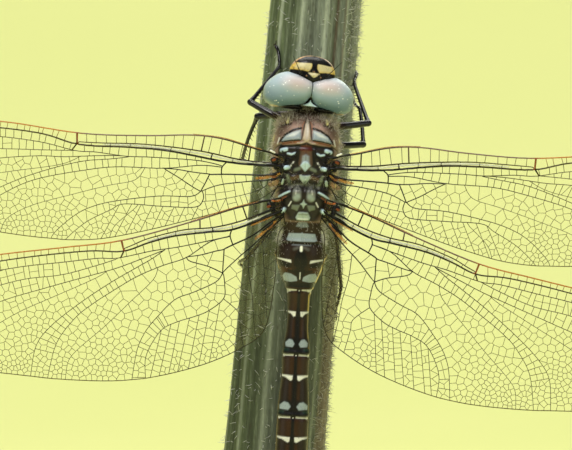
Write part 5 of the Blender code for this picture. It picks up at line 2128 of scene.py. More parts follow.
@dataclass
class Wing:
    """One wing: a pleated film, and a net of veins that stand proud of it on both sides."""

    plan: WingPlan
    side: str
    seed: int
    mid_cell: float = 0.92
    edge_cell: float = 0.36
    net_radius: float = 0.025
    margin_radii: Pair = (0.085, 0.04)
    samples: int = 6
    relax: int = 5

    def courses(self) -> dict[str, tuple[Array, Array, int]]:
        """Every main vein's points, radii and kind, with its loose ends moved onto the vein they meet."""
        rng = np.random.default_rng(self.seed)
        outline = smooth_curve(self.plan.outline, self.samples)
        split = self.plan.leading * self.samples
        lead = np.linspace(self.margin_radii[0], 0.055, split + 1)
        tail = np.linspace(0.05, self.margin_radii[1], len(outline) - split)
        made = {"C": (outline[: split + 1], lead, LEADING), "margin": (outline[split:], tail, HIND)}
        made["root"] = (np.array([outline[-1], outline[0]]), np.array([0.05, 0.05]), ROOT)
        for kind, (name, course) in enumerate(self.plan.courses.items(), start=ROOT + 1):
            course = smooth_curve(course, self.samples)
            wobble = np.sin(np.linspace(0, 9, len(course)) + rng.uniform(0, 6)) * 0.03
            course[1:-1, 1] += wobble[1:-1]
            made[name] = (course, np.linspace(*VEINS[name].radii, len(course)), kind)
        for name in self.plan.courses:
            for end in (0, -1):
                self.attach(made, name, end)
        return made

    @staticmethod
    def attach(made: dict, name: str, end: int, reach: float = 0.9) -> None:
        """Moves one end of a vein onto the nearest other vein, and just across it.

        Args:
            made: all the veins.
            name: the vein that is moved.
            end: 0 for its first end and -1 for its last.
            reach: how far off another vein may lie.
        """
        course = made[name][0]
        tip, best = course[end].copy(), (reach, None)
        for other, (line, _, _) in made.items():
            if other != name:
                best = min(best, nearest(line, tip), key=lambda found: found[0])
        if best[1] is not None:
            back = course[1] if end == 0 else course[-2]
            away = best[1] - back
            course[end] = best[1] + away / max(np.hypot(*away), 1e-6) * OVERRUN

    def rungs(self, made: dict, rng: np.random.Generator) -> list:
        """The plain cross veins of the front fields.

        Args:
            made: the main veins, by name.
            rng: where the random numbers come from.

        Returns:
            For each, its points, its kind and its radii.
        """
        lines = []
        for ladder in self.plan.ladders:
            upper, lower = made[ladder.upper][0], made[ladder.lower][0]
            places = np.linspace(ladder.start, ladder.stop, ladder.count)
            places = places + rng.uniform(-0.16, 0.16, ladder.count)
            for number, x in enumerate(places):
                top = np.array([x, np.interp(x, *upper.T)])
                gap = nearest(lower, top)[0]
                foot = nearest(lower, top + np.array(ladder.lean) * gap + rng.uniform(-0.08, 0.08, 2))[1]
                lines.append(self.rung(top, foot, 0.07 if number in ladder.thick else 0.031))
        nodus = self.plan.nodus
        braces = [("C", "R", x + 0.1, x - 0.1, 0.06, CROSS) for x in self.plan.stigma]
        braces.append(("C", "R", nodus, nodus - 0.1, 0.1, NODUS))
        braces.append(("R", "RP", nodus - 0.08, nodus - 0.08 + 0.42, 0.075, CROSS))
        for upper, lower, start, stop, radius, kind in braces:
            top = np.array([start, np.interp(start, *made[upper][0].T)])
            foot = np.array([stop, np.interp(stop, *made[lower][0].T)])
            lines.append(self.rung(top, foot, radius, kind))
        return lines

    @staticmethod
    def rung(top: Array, foot: Array, radius: float, kind: int = CROSS) -> tuple:
        """A straight cross vein that runs just over the veins at its ends."""
        reach = (top - foot) * OVERRUN / max(np.hypot(*(top - foot)), 1e-6)
        return np.array([top + reach, foot - reach]), kind, np.array([radius, radius])

    def cell_area(self, spots: Array) -> Array:
        """The size of cell wanted at each spot: smaller towards the hind edge and the tip.

        Args:
            spots: places in the wing's plane.

        Returns:
            One area for each spot.
        """
        outline = smooth_curve(self.plan.outline, self.samples)
        split = self.plan.leading * self.samples
        front = np.interp(spots[:, 0], *outline[: split + 1].T)
        hind = np.interp(spots[:, 0], *outline[split:][::-1].T)
        back = np.clip((front - spots[:, 1]) / np.maximum(front - hind, 0.5), 0.0, 1.0)
        area = self.mid_cell + (self.edge_cell - self.mid_cell) * ease(back, 0.35, 1.0)
        return area * (1 - 0.3 * ease(spots[:, 0], 12.0, 24.0)) * (1 + 0.7 * ease(spots[:, 0], 8.0, 3.0))

    def net(self, polygon: Array, area: float, rng: np.random.Generator) -> list:
        """Cell walls that divide one field into evenly spread cells.

        Args:
            polygon: the field's outline.
            area: the field's area.
            rng: where the random numbers come from.

        Returns:
            For each wall, its points, its kind and its radii.
        """
        low, high = polygon.min(0), polygon.max(0)
        dense = rng.uniform(low, high, (max(400, int(240 * np.prod(high - low))), 2))
        dense = dense[inside(polygon, dense)]
        weight = 1 / self.cell_area(dense)
        wanted = int(round(area * weight.sum() / max(len(dense), 1)))
        if wanted < 2 or len(dense) < wanted * 4:
            return []
        seeds = dense[rng.choice(len(dense), wanted, replace=False, p=weight / weight.sum())]
        for _ in range(self.relax):
            owner = ((dense[:, None] - seeds[None]) ** 2).sum(-1).argmin(1)
            for axis in (0, 1):
                total = np.bincount(owner, weight * dense[:, axis], wanted)
                seeds[:, axis] = total / np.maximum(np.bincount(owner, weight, wanted), 1e-9)
        middle, span = (low + high) / 2, float((high - low).max())
        ring = circle(12)
        far = middle + stacked(np.cos(ring), np.sin(ring)) * span * 6
        everyone = np.vstack([seeds, far])
        found = delaunay_2d_cdt([Vector(p) for p in everyone], [], [], 0, 1e-6)
        spots = np.array([tuple(p) for p in found[0]])
        centres, beside = [], {}
        for number, (a, b, c) in enumerate(found[2]):
            centres.append(self.circle_middle(spots[a], spots[b], spots[c]))
            for pair in ((a, b), (b, c), (c, a)):
                beside.setdefault(tuple(sorted(pair)), []).append(number)
        walls = []
        for pair, sides in beside.items():
            if len(sides) == 2:
                walls += self.clipped(polygon, centres[sides[0]], centres[sides[1]])
        return walls

    @staticmethod
    def circle_middle(a: Array, b: Array, c: Array) -> Array:
        """The middle of the circle through three points.

        Args:
            a: the first.
            b: the second.
            c: the third.

        Returns:
            The middle.
        """
        u, v = b - a, c - a
        cross = 2 * (u[0] * v[1] - u[1] * v[0])
        cross = cross if abs(cross) > 1e-9 else 1e-9
        uu, vv = u @ u, v @ v
        return a + np.array([v[1] * uu - u[1] * vv, u[0] * vv - v[0] * uu]) / cross

    def clipped(self, polygon: Array, start: Array, stop: Array) -> list:
        """The stretches of a wall that lie inside the field, each running just across its border.

        Args:
            polygon: the field's outline.
            start: the wall's first end.
            stop: its other end.

        Returns:
            For each stretch, its points, its kind and its radii.
        """
        way = stop - start
        length = float(np.hypot(*way))
        if length < 1e-5:
            return []
        a, edge = polygon, np.roll(polygon, -1, axis=0) - polygon
        cross = way[0] * edge[:, 1] - way[1] * edge[:, 0]
        cross = np.where(np.abs(cross) < 1e-12, 1e-12, cross)
        gap = a - start
        t = (gap[:, 0] * edge[:, 1] - gap[:, 1] * edge[:, 0]) / cross
        u = (gap[:, 0] * way[1] - gap[:, 1] * way[0]) / cross
        cuts = np.sort(t[(t > 0) & (t < 1) & (u >= 0) & (u < 1)])
        stops = np.concatenate([[0.0], cuts, [1.0]])
        pieces = []
        for low, high in zip(stops, stops[1:]):
            if high - low < 1e-6 or not inside(polygon, (start + way * (low + high) / 2)[None])[0]:
                continue
            low = low - OVERRUN / length if low > 0 else low
            high = high + OVERRUN / length if high < 1 else high
            radius = np.array([self.net_radius, self.net_radius])
            pieces.append((np.array([start + way * low, start + way * high]), NET, radius))
        return pieces

    def graph(self) -> Graph:
        """The whole net of veins."""
        rng = np.random.default_rng(self.seed)
        made = self.courses()
        lines = [(line, kind, radii) for line, radii, kind in made.values()]
        lines += self.rungs(made, rng)
        fields = Graph(lines)
        for face in fields.cells():
            area = fields.area(face)
            if area <= 0.0:
                continue
            polygon = fields.points[face]
            x, y = polygon.mean(0)
            plain = y > np.interp(x, *made["R"][0].T) - 0.05
            plain = plain or inside(polygon, np.array(self.plan.undivided)).any()
            if not plain:
                lines += self.net(polygon, area, rng)
        return Graph(lines)

    def relief(self, spots: Array, made: dict) -> Array:
        """How far the film rises or dips at each spot, following the ridged and sunken veins.

        Args:
            spots: places in the wing's plane.
            made: the main veins, by name.

        Returns:
            One height for each spot.
        """
        top, total = np.zeros(len(spots)), np.full(len(spots), 0.6)
        rises = {name: VEINS[name].rise for name in self.plan.courses}
        rises["C"] = 0.05
        for name, rise in rises.items():
            line = made[name][0]
            gaps = ((spots[:, None] - line[None]) ** 2).sum(-1).min(1)
            weight = 1 / (gaps + 0.04) ** 1.2
            top += weight * rise
            total += weight
        return top / total * (1 - 0.6 * ease(spots[:, 0], 15.0, 40.0))

    def sided(self, faces: list) -> list:
        """The faces, turned over for a left wing, which is mirrored."""
        return [face[::-1] for face in faces] if self.side == "left" else faces

    def placed(self, flat: Array, height: Array) -> Array:
        """Points of the wing's plane, in the insect's frame.

        Args:
            flat: places in the plane.
            height: their heights above it.

        Returns:
            One point for each place.
        """
        plan = self.plan
        turn = Matrix.Rotation(math.radians(plan.sweep[self.side]), 3, "Z")
        turn = turn @ Matrix.Rotation(math.radians(plan.pitch), 3, "X")
        points = np.column_stack([flat, height]) @ np.array(turn).T + np.array(plan.root)
        if self.side == "left":
            points[:, 0] *= -1
        return points

    def vein_tint(self, kind: int, middle: Array) -> Array:
        """The colour of a stretch of vein.

        Args:
            kind: the vein's kind.
            middle: a place on it.

        Returns:
            The colour.
        """
        plan = self.plan
        dark, olive = rgb(Tint.BLACK), linear(92, 80, 34)
        if kind == LEADING:
            root = blend(rgb(Tint.PINK_BROWN) * 0.35, dark, ease(middle[0], 9, 3))
            return blend(root, rgb(Tint.AMBER) * 0.85, ease(middle[0], plan.nodus - 1.0, plan.nodus + 0.5))
        if kind == NODUS:
            return rgb(Tint.ORANGE) * 0.7
        if kind > ROOT:
            vein = VEINS[list(plan.courses)[kind - ROOT - 1]]
            return blend(vein.tint, olive, 0.45 * ease(middle[0], 5.0, 22.0))
        return blend(dark, olive, 0.15 + 0.65 * ease(middle[0], 4.0, 18.0))

    def build(self, matrix: Matrix, vein_finish: Material, film_finish: Material) -> None:
        """Makes the wing's film and its veins.

        Args:
            matrix: the insect's frame.
            vein_finish: the veins' material.
            film_finish: the film's material.
        """
        graph, made = self.graph(), self.courses()
        spots = graph.points
        base = self.relief(spots, made)
        thick, tints = np.zeros(len(spots)), np.zeros((len(spots), 3))
        for (a, b), (radius, kind) in graph.edges.items():
            for end in (a, b):
                if radius > thick[end]:
                    thick[end] = radius
                    tints[end] = self.vein_tint(kind, spots[end])
        film, veins = Draft(), Draft()
        panes, colours = [], np.tile([*linear(226, 214, 140), 0.035], (len(spots), 1))
        corners, quads = [], []
        number = 2 * len(spots)
        up, down = np.arange(len(spots)), np.arange(len(spots)) + len(spots)
        for face in graph.cells():
            ring = spots[face]
            ahead = unit(np.roll(ring, -1, axis=0) - ring)
            normal = stacked(-ahead[:, 1], ahead[:, 0])
            ends = zip(face, face[1:] + face[:1])
            radii = np.array([graph.edges[(min(a, b), max(a, b))][0] for a, b in ends])
            before, radii_before = np.roll(normal, 1, axis=0), np.roll(radii, 1)
            turn = before[:, 0] * normal[:, 1] - before[:, 1] * normal[:, 0]
            sharp = np.abs(turn) > 0.25
            safe = np.where(sharp, turn, 1.0)
            x = (radii_before * normal[:, 1] - radii * before[:, 1]) / safe
            y = (radii * before[:, 0] - radii_before * normal[:, 0]) / safe
            plain = unit(before + normal) * ((radii + radii_before) / 2)[:, None]
            inset = np.where(sharp[:, None], stacked(x, y), plain)
            reach = np.linalg.norm(inset, axis=1, keepdims=True)
            most = np.maximum(radii, radii_before)[:, None] * 2.2
            inset = inset * np.minimum(1.0, most / np.maximum(reach, 1e-9))
            count = len(face)
            corners.append(ring + inset)
            inner = number + np.arange(count)
            number += count
            after, inner_after = face[1:] + face[:1], np.roll(inner, -1)
            for a, b, p, q in zip(face, after, inner, inner_after):
                quads.append([up[a], up[b], q, p])
                quads.append([down[b], down[a], p, q])
            if graph.area(face) > 0:
                panes.append(face)
                self.tint_stigma(face, ring, colours, made)
        edge_points = np.vstack(corners)
        edge_rise = self.relief(edge_points, made)
        flat = np.vstack([spots, spots, edge_points])
        rise = np.concatenate([base + thick * 0.9, base - thick * 0.9, edge_rise])
        owner = np.concatenate([np.array(face) for face in graph.cells()])
        paint = np.vstack([tints, tints, tints[owner]])
        veins.add(self.placed(flat, rise), self.sided(quads), paint)
        film.add(self.placed(spots, base), self.sided(panes), colours)
        for stain_and_sheen in self.plan.stains_and_sheen:
            self.stain_and_sheen(film, stain_and_sheen, made)
        name = f"{self.plan.name}_{self.side}"
        film.build(f"{name}_film", film_finish, matrix, "wing", (name,))
        veins.build(f"{name}_veins", vein_finish, matrix, "wing")

    def stain_and_sheen(self, film: Draft, stain_and_sheen: StainAndSheen, made: dict) -> None:
        """Adds one amber stain or painted cream sheen, as a thin strip just above the film.

        Args:
            film: the mesh that it is added to.
            stain_and_sheen: the stretch.
            made: the main veins, by name.
        """
        course = smooth_curve(stain_and_sheen.course, 10)
        share = np.linspace(-1.0, 1.0, len(course))
        strip = Draft()
        path = np.column_stack([course, self.relief(course, made)])
        radii, colour = stain_and_sheen.reach * (1 - 0.5 * share**4), (*stain_and_sheen.tint.value, stain_and_sheen.cover)
        strip.add_tube(path, radii, 10, colour, 0.12, (0.0, 1.0, 0.0))
        points = strip.points[0]
        film.add(self.placed(points[:, :2], points[:, 2]), self.sided(strip.faces), strip.paint[0])

    def tint_stigma(self, face: list[int], ring: Array, colours: Array, made: dict) -> None:
        """Makes the cell near the wing's tip that carries the brown wing mark dense.

        Args:
            face: the cell's point numbers.
            ring: the cell's points.
            colours: the film's colours, which are changed.
            made: the main veins, by name.
        """
        x, y = ring.mean(0)
        start, stop = self.plan.stigma
        if start - 0.1 < x < stop + 0.1 and y > np.interp(x, *made["R"][0].T):
            colours[face] = (*Tint.AMBER.value, 0.95)


def build_wings(matrix: Matrix) -> None:
    """All four wings.

    Args:
        matrix: the insect's frame.
    """
    veins = ShellFinish("wing_veins", 0.35, 0.2, 6.0, 0.01).make()
    film = FilmFinish().make()
    seeds = iter((11, 23, 37, 41))
    for plan in (FOREWING, HINDWING):
        for side in ("right", "left"):
            Wing(plan, side, next(seeds)).build(matrix, veins, film)


@dataclass(frozen=True)
class RootPart:
    """A strut or plate of a wing's root: its course from above, its radius, colour and height."""

    course: Outline
    radius: float
    tint: Tint
    lift: float = 0.08
    flat: float = 0.7


ROOT_PARTS = {
    "forewing": (
        RootPart(((2.75, 5.4), (2.4, 5), (2.1, 4.5)), 0.46, Tint.BLACK, -0.04),
        RootPart(((2.7, 4.7), (2.6, 4.3), (2.3, 3.6)), 0.3, Tint.BLACK, -0.04),
        RootPart(((3.4, 5.5), (2.7, 5.35)), 0.34, Tint.BLACK, -0.04),
        RootPart(((3.35, 5.42), (3, 5.56)), 0.15, Tint.EMBER, 0.14, 0.5),
        RootPart(((3.1, 4.75), (2.6, 4.7)), 0.24, Tint.BLACK, -0.04),
        RootPart(((3.6, 6.42), (3.1, 6.2)), 0.1, Tint.CREAM, 0.18),
        RootPart(
            ((4.4, 6.44), (3.4, 6.12), (2.9, 5.95), (2.5, 5.8), (1.85, 5.66), (1.2, 5.9), (0.95, 6.35)),
            0.09, Tint.BLACK, 0.14,
        ),
        RootPart(((3.9, 4.97), (3, 5), (2.3, 5.12), (1.75, 5.32)), 0.125, Tint.BLACK, 0.14),
        RootPart(((4.2, 3.9), (2.95, 4.05), (2.45, 4.35), (2.1, 4.6)), 0.085, Tint.BLACK, 0.1),
        RootPart(((3.4, 3.4), (2.95, 3.55), (2.35, 3.95)), 0.075, Tint.BLACK, 0.1),
        RootPart(((3.3, 3.76), (2.7, 3.86)), 0.14, Tint.ORANGE_BROWN, 0, 0.5),
        RootPart(((2.1, 4.72), (1.8, 4.84)), 0.22, Tint.PALE_BLUE, 0.3),
        RootPart(((2.14, 3.6), (2.24, 3.1)), 0.19, Tint.PALE_GREEN, 0.14),
        RootPart(((1.9, 3.8), (2.45, 3.3), (2.85, 2.6), (3.3, 1.8)), 0.07, Tint.BLACK, 0.08, 1),
    ),
    "hindwing": (
        RootPart(((2.75, 1.05), (2.4, 0.7), (2, 0.1)), 0.44, Tint.BLACK, -0.04),
        RootPart(((3.6, 0.95), (3, 0.9)), 0.32, Tint.BLACK, -0.04),
        RootPart(((3.62, 0.72), (3.3, 0.9)), 0.14, Tint.EMBER, 0.14, 0.5),
        RootPart(((3.1, 0.4), (2.6, 0), (2.3, -0.45)), 0.34, Tint.BLACK, -0.04),
        RootPart(
            ((4.5, 1.22), (3.55, 1.42), (3.2, 1.12), (2.6, 1.35), (1.9, 1.62), (1.35, 2.05)), 0.085,
            Tint.BLACK, 0.14,
        ),
        RootPart(((4.5, -0.15), (3.2, 0.5), (2.6, 0.85), (2.1, 1.2)), 0.12, Tint.BLACK, 0.14),
        RootPart(((4.6, -0.8), (3.65, -0.15), (2.7, 0.15)), 0.09, Tint.BLACK, 0.1),
        RootPart(((3.95, -1.7), (2.9, -0.75), (2.25, 0.05)), 0.09, Tint.BLACK, 0.1),
        RootPart(((4, -0.55), (3.2, -0.08)), 0.13, Tint.ORANGE_BROWN, 0, 0.5),
        RootPart(((3.3, -1.35), (2.65, -0.6)), 0.15, Tint.ORANGE_BROWN, 0, 0.5),
        RootPart(((2.16, 0.36), (1.94, 0.62)), 0.23, Tint.PALE_BLUE, 0.36),
        RootPart(((3.2, 1.4), (2.7, 1.36), (2.15, 1.52)), 0.1, Tint.ORANGE, 0.2),
    ),
}


def build_roots(trunk: Trunk, matrix: Matrix) -> None:
    """The plates and struts at the wings' roots, lying on the back and on the wings' planes.

    Args:
        trunk: the trunk, on whose skin they lie.
        matrix: the insect's frame.
    """
    finish = ShellFinish("root_shell", 0.3, 0.25, 10.0, 0.012, 0.1).make()
    back = trunk.facing[..., 2] > 0.1
    skin = trunk.rows[back]
    for plan in (FOREWING, HINDWING):
        for side, sign in (("right", 1), ("left", -1)):
            draft = Draft()
            slope = math.tan(math.radians(plan.pitch))
            for part in ROOT_PARTS[plan.name]:
                course = smooth_curve(part.course, 8) * np.array([sign, 1.0])
                gaps = ((skin[None, :, :2] - course[:, None]) ** 2).sum(-1)
                below = skin[gaps.argmin(1), 2]
                plane = plan.root[2] + (course[:, 1] - plan.root[1]) * slope
                away = ease(np.abs(course[:, 0]), 2.3, 3.1)
                height = below + (plane - below) * away + part.lift
                path = np.column_stack([course, height])
                share = np.linspace(-1, 1, len(path))
                radii = part.radius * (1 - 0.3 * share**4)
                draft.add_tube(path, radii, 12, part.tint, part.flat, (0.3, 1.0, 0.0))
            draft.build(f"wing_root_{plan.name}_{side}", finish, matrix, "skin")


# ----- stem and stand


@dataclass
class Stem:
    """The cut length of ribbed stem that the insect grips, leaning to the insect's right."""

    lean: float = 5.33
    foot_radius: float = 5.5
    top_radius: float = 4.7
    ribs: int = 12
    rib_depth: float = 0.26
    around: int = 420
    rings: int = 240

    def __post_init__(self) -> None:
        """Finds the foot and the height from the solid."""
        low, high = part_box("perch_stem")
        self.low, self.high = low.z / MM, high.z / MM
        self.foot_x = low.x / MM + self.foot_radius
        self.foot_y = (low.y + high.y) / 2 / MM

    def axis(self, z: Array) -> Array:
        """The points of the stem's axis at those heights.

        Args:
            z: heights, in millimetres.

        Returns:
            One point for each height.
        """
        slope = math.tan(math.radians(self.lean))
        z = np.asarray(z, float)
        return stacked(self.foot_x + (z - self.low) * slope, np.full_like(z, self.foot_y), z)

    def radius(self, z: Array, turn: Array) -> Array:
        """The stem's radius at a height and an angle round it from its front.

        Args:
            z: heights, in millimetres.
            turn: angles round the stem from its front.

        Returns:
            One radius for each place.
        """
        share = (z - self.low) / (self.high - self.low)
        radius = self.foot_radius + (self.top_radius - self.foot_radius) * share
        swing = turn + 0.02 * np.sin(z * 0.13)
        groove = (0.5 + 0.5 * np.cos(self.ribs * swing)) ** 1.6
        minor = 0.5 + 0.5 * np.cos(self.ribs * 4 * swing + 1.3 * np.sin(3 * turn))
        fine = np.sin(self.ribs * 9 * turn + 2.0 * np.sin(5 * turn)) * 0.5
        bend = 0.05 * np.sin(z * 0.21 + 4 * turn)
        return radius + 0.08 - self.rib_depth * groove - 0.05 * minor - 0.018 * fine + bend * 0.6

    def surface(self, z: Array, turn: Array, lift: float = 0.0) -> Array:
        """Points on the stem's skin, lifted off it by that much.

        Args:
            z: heights, in millimetres.
            turn: angles round the stem from its front.
            lift: how far they lie off it.

        Returns:
            One point for each place.
        """
        radius = self.radius(z, turn) + lift
        out = stacked(radius * np.sin(turn), -radius * np.cos(turn), np.zeros_like(radius))
        return self.axis(z) + out

    def colours(self, z: Array, turn: Array) -> Array:
        """Grey-green on the left, grey in front and brown on the right, with pale ribs.

        Args:
            z: heights, in millimetres.
            turn: angles round the stem from its front.

        Returns:
            One colour for each place.
        """
        angle = np.degrees((turn + math.pi) % math.tau - math.pi)[..., None]
        tint = np.array(linear(84, 96, 66)) * np.ones_like(angle)
        tint = blend(tint, linear(104, 112, 96), ease(angle, -35, -5))
        share = ((z - self.low) / (self.high - self.low))[..., None]
        tint = blend(tint, linear(152, 138, 120), ease(angle, 48, 56) * ease(share, 0.75, 0.4))
        streaks = (hump(angle, 31, 4) + hump(angle, 43, 5)) * ease(share, 0.5, 0.8)
        tint = blend(tint, linear(86, 66, 44), streaks * 0.8)
        tint = blend(tint, linear(84, 92, 64), ease(np.abs(angle), 120, 175))
        tint = blend(tint, linear(136, 140, 128), ease(angle, 52, 62) * ease(share, 0.7, 0.85) * 0.85)
        # Painted shade: the stem is made darker towards its bottom.
        tint = tint * (0.62 + 0.38 * ease(share, 0.55, 0.8))
        # Painted light and shadow on the stem's left: lighter beside the thorax, darker lower down in the
        # hindwing's shadow.
        left = ease(angle, 0, -20)
        tint = tint * (1 + left * (0.3 * hump(share, 0.79, 0.12) - 0.3 * hump(share, 0.66, 0.08)))
        swing = turn + 0.02 * np.sin(z * 0.13) + math.radians(1.5)
        crest = ((0.5 - 0.5 * np.cos(self.ribs * swing)) ** 12)[..., None]
        minor = ((0.5 - 0.5 * np.cos(self.ribs * 3 * swing + 0.8 * np.sin(turn * 4))) ** 5)[..., None]
        groove = ((0.5 + 0.5 * np.cos(self.ribs * swing)) ** 3)[..., None]
        pale = np.clip(crest * 0.7 + minor * 0.16, 0, 1) * (0.5 + 0.5 * ease(share, 0.55, 0.8))
        tint = blend(tint, linear(158, 166, 148), pale)
        # Painted shade: the grooves between the ribs are darkened.
        return tint * (1 - 0.35 * groove)

    def build(self) -> None:
        """Makes the skin of the stem and its two cut ends."""
        z = np.linspace(self.low + 0.02, self.high - 0.02, self.rings)[:, None]
        turn = circle(self.around)[None, :]
        z, turn = np.broadcast_arrays(z, turn)
        draft = Draft()
        rows = self.surface(z, turn)[:, ::-1]
        draft.add_rows(rows, self.colours(z, turn)[:, ::-1].reshape(-1, 3), caps=False)
        pith = Draft()
        for end, inward in ((0, 1.0), (-1, -1.0)):
            rim = rows[end]
            middle = self.axis(rim[0, 2])
            rings = []
            for share in np.linspace(1.0, 0.02, 24):
                dish = 0.5 * ease(share, 0.35, 0.1) + 0.08 * math.sin(share * 20) * (share < 0.9)
                rings.append(middle + (rim - middle) * share + np.array([0.0, 0.0, inward * dish]))
            ring = np.array(rings)
            pith.add_rows(ring if inward < 0 else ring[:, ::-1], linear(190, 184, 140), caps=False)
        skin = draft.build("stem_skin", StemFinish().make(), None, "stem", ("perch_stem",))
        pith.build("stem_ends", PithFinish().make(), None, "stem")
        skin.data.validate()


@dataclass
class Stand:
    """The turned base, the rod up to the stem and the collar round the rod's foot."""

    around: int = 160
    collar_radius: float = 2.6
    edge_radius: float = 1.2
    sharp: float = 35.0

    def build(self) -> None:
        """Makes the base, the rod and the collar round the rod's foot."""
        low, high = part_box("stand_base")
        radius = (high.x - low.x) / 2 / MM
        top = high.z / MM
        centre = (low + high) / 2 / MM
        rod_low, rod_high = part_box("stand_rod")
        rod_radius = (rod_high.x - rod_low.x) / 2 / MM
        place = (rod_low + rod_high) / 2 / MM
        arc = np.linspace(0.0, math.pi / 2, 10)
        bend = self.edge_radius
        edge = [(radius - bend * (1 - math.cos(a)), top - bend * (1 - math.sin(a))) for a in arc]
        step = [
            (radius - 2.6, top - 0.02), (radius - 2.9, top - 0.28), (radius - 3.3, top - 0.28),
            (radius - 3.6, top - 0.02),
        ]
        profile = [
            (0.5, 0.02), (radius - 0.9, 0.02), (radius - 0.6, 0.15), (radius, 0.75), *edge, *step,
            (0.5, top - 0.02),
        ]
        wood = WoodFinish().make()
        steel = STEEL.make()
        self.turned("stand_base_turned", profile, centre, wood, "stand_wood", "stand_base")
        foot, head = rod_low.z / MM - 0.25, rod_high.z / MM + 0.3
        profile = [
            (0.1, foot), (rod_radius, foot), (rod_radius, head - 0.2), (rod_radius - 0.2, head), (0.1, head),
        ]
        self.turned("stand_rod_turned", profile, place, steel, "stand_metal", "stand_rod")
        base = top - 0.02
        profile = [
            (rod_radius, base), (self.collar_radius, base), (self.collar_radius, base + 0.7),
            (self.collar_radius - 0.3, base + 1.0), (rod_radius + 0.02, base + 1.0),
        ]
        self.turned("stand_collar", profile, place, steel, "stand_metal", None)

    def turned(
        self,
        name: str,
        profile: list[Pair],
        place: Vector,
        finish: Material,
        slot: str,
        solid: str | None,
    ) -> None:
        """A piece turned about an upright axis.

        Args:
            name: the piece's name.
            profile: radii and heights, going up.
            place: a point of the axis.
            finish: its material.
            slot: the record's material slot.
            solid: the solid that it stands for, if any.
        """
        dense = []
        for (r0, z0), (r1, z1) in zip(profile, profile[1:]):
            steps = max(1, int(abs(r1 - r0) / 2.5))
            dense += [(r0 + (r1 - r0) * k / steps, z0 + (z1 - z0) * k / steps) for k in range(steps)]
        dense.append(profile[-1])
        turn = circle(self.around)[None, :]
        radii = np.array(dense)[:, :1]
        heights = np.broadcast_to(np.array(dense)[:, 1:], (len(dense), self.around))
        rows = stacked(place.x + radii * np.cos(turn), place.y + radii * np.sin(turn), heights)
        draft = Draft()
        draft.add_rows(rows[:, ::-1][::-1], (0.5, 0.5, 0.5))
        piece = draft.build(name, finish, None, slot, (solid,) if solid else ())
        piece.data.set_sharp_from_angle(angle=math.radians(self.sharp))


# ----- studio


@dataclass(frozen=True)
class Studio:
    """Camera, floor that sweeps up behind, and soft lights."""

    camera_back: float = 447.75
    camera_height_share: float = 0.7189
    camera_side: float = -1.8
    lens: float = 281.0
    sensor: float = 36.0
    floor_half: float = 2600.0
    sweep_start: float = 900.0
    sweep_radius: float = 900.0

    def camera(self) -> None:
        """A long lens, level with the thorax and looking straight at the insect's back."""
        low, high = CAD_BOX
        thorax_low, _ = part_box("thorax")
        data = bpy.data.cameras.new("view")
        data.lens, data.sensor_width = self.lens, self.sensor
        data.clip_start, data.clip_end = 0.01, 20.0
        camera = placed("view", data)
        height = low.z + (high.z - low.z) * self.camera_height_share
        camera.location = (self.camera_side * MM, thorax_low.y - self.camera_back * MM, height)
        camera.rotation_euler = (math.radians(90), 0.0, 0.0)
        bpy.context.scene.camera = camera

    def floor(self) -> None:
        """The pale floor, curving up into a backdrop."""
        profile = [(-self.floor_half, 0.0), (self.sweep_start, 0.0)]
        for angle in np.linspace(0.0, math.pi / 2, 24)[1:]:
            out, rise = math.sin(angle), 1 - math.cos(angle)
            profile.append((self.sweep_start + self.sweep_radius * out, self.sweep_radius * rise))
        profile.append((profile[-1][0], self.floor_half))
        count = len(profile)
        points = [(x, y, z) for x in (-self.floor_half, self.floor_half) for y, z in profile]
        faces = [(i, i + count, i + count + 1, i + 1) for i in range(count - 1)]
        mesh = bpy.data.meshes.new("studio_floor")
        mesh.from_pydata([tuple(c * MM for c in point) for point in points], [], faces)
        mesh.shade_smooth()
        mesh.materials.append(FLOOR.make())
        floor = placed("studio_floor", mesh)

    def light(
        self, name: str, place: Triple, target: Triple, size: float, power: float, tint: Triple
    ) -> None:
        """A square soft light.

        Args:
            name: the light's name.
            place: its middle, in millimetres.
            target: the point that it faces.
            size: its side, in millimetres.
            power: its power, in watts.
            tint: its colour.
        """
        data = bpy.data.lights.new(name, "AREA")
        data.shape, data.size, data.energy, data.color = "SQUARE", size * MM, power, tint
        lamp = placed(name, data)
        lamp.location = Vector(place) * MM
        aim = Vector(target) - Vector(place)
        lamp.rotation_euler = aim.to_track_quat("-Z", "Y").to_euler()

    def lights(self) -> None:
        """A broad key above and before the insect, fills at both sides and light on the backdrop."""
        heart = (0.0, -8.0, 70.0)
        self.light("key", (-90.0, -300.0, 420.0), heart, 190.0, 1.6, (1.0, 0.985, 0.96))
        self.light("fill_right", (380.0, -260.0, 150.0), heart, 260.0, 0.3, (0.95, 0.98, 1.0))
        self.light("fill_left", (-380.0, -180.0, 90.0), heart, 260.0, 0.22, (1.0, 1.0, 0.96))
        self.light("back", (60.0, 320.0, 300.0), heart, 260.0, 0.8, (1.0, 1.0, 0.94))
        self.light("sweep", (0.0, 300.0, 1500.0), (0.0, 1200.0, 100.0), 1200.0, 27.0, (1.0, 1.0, 0.93))
        world = bpy.data.worlds.new("studio")
        world.use_nodes = True
        background = world.node_tree.nodes["Background"]
        background.inputs["Color"].default_value = (0.93, 0.96, 1.0, 1.0)
        background.inputs["Strength"].default_value = 0.13
        bpy.context.scene.world = world
        bpy.context.scene.view_settings.view_transform = "Standard"

    def build(self) -> None:
        """Makes the whole studio."""
        self.camera()
        self.floor()
        self.lights()


# ----- coat


@dataclass
class Roots:
    """Where hairs grow: their places, the skin's normals and colours there, and their places unwrapped."""

    places: Array
    facing: Array
    colours: Array
    unwrap: Array


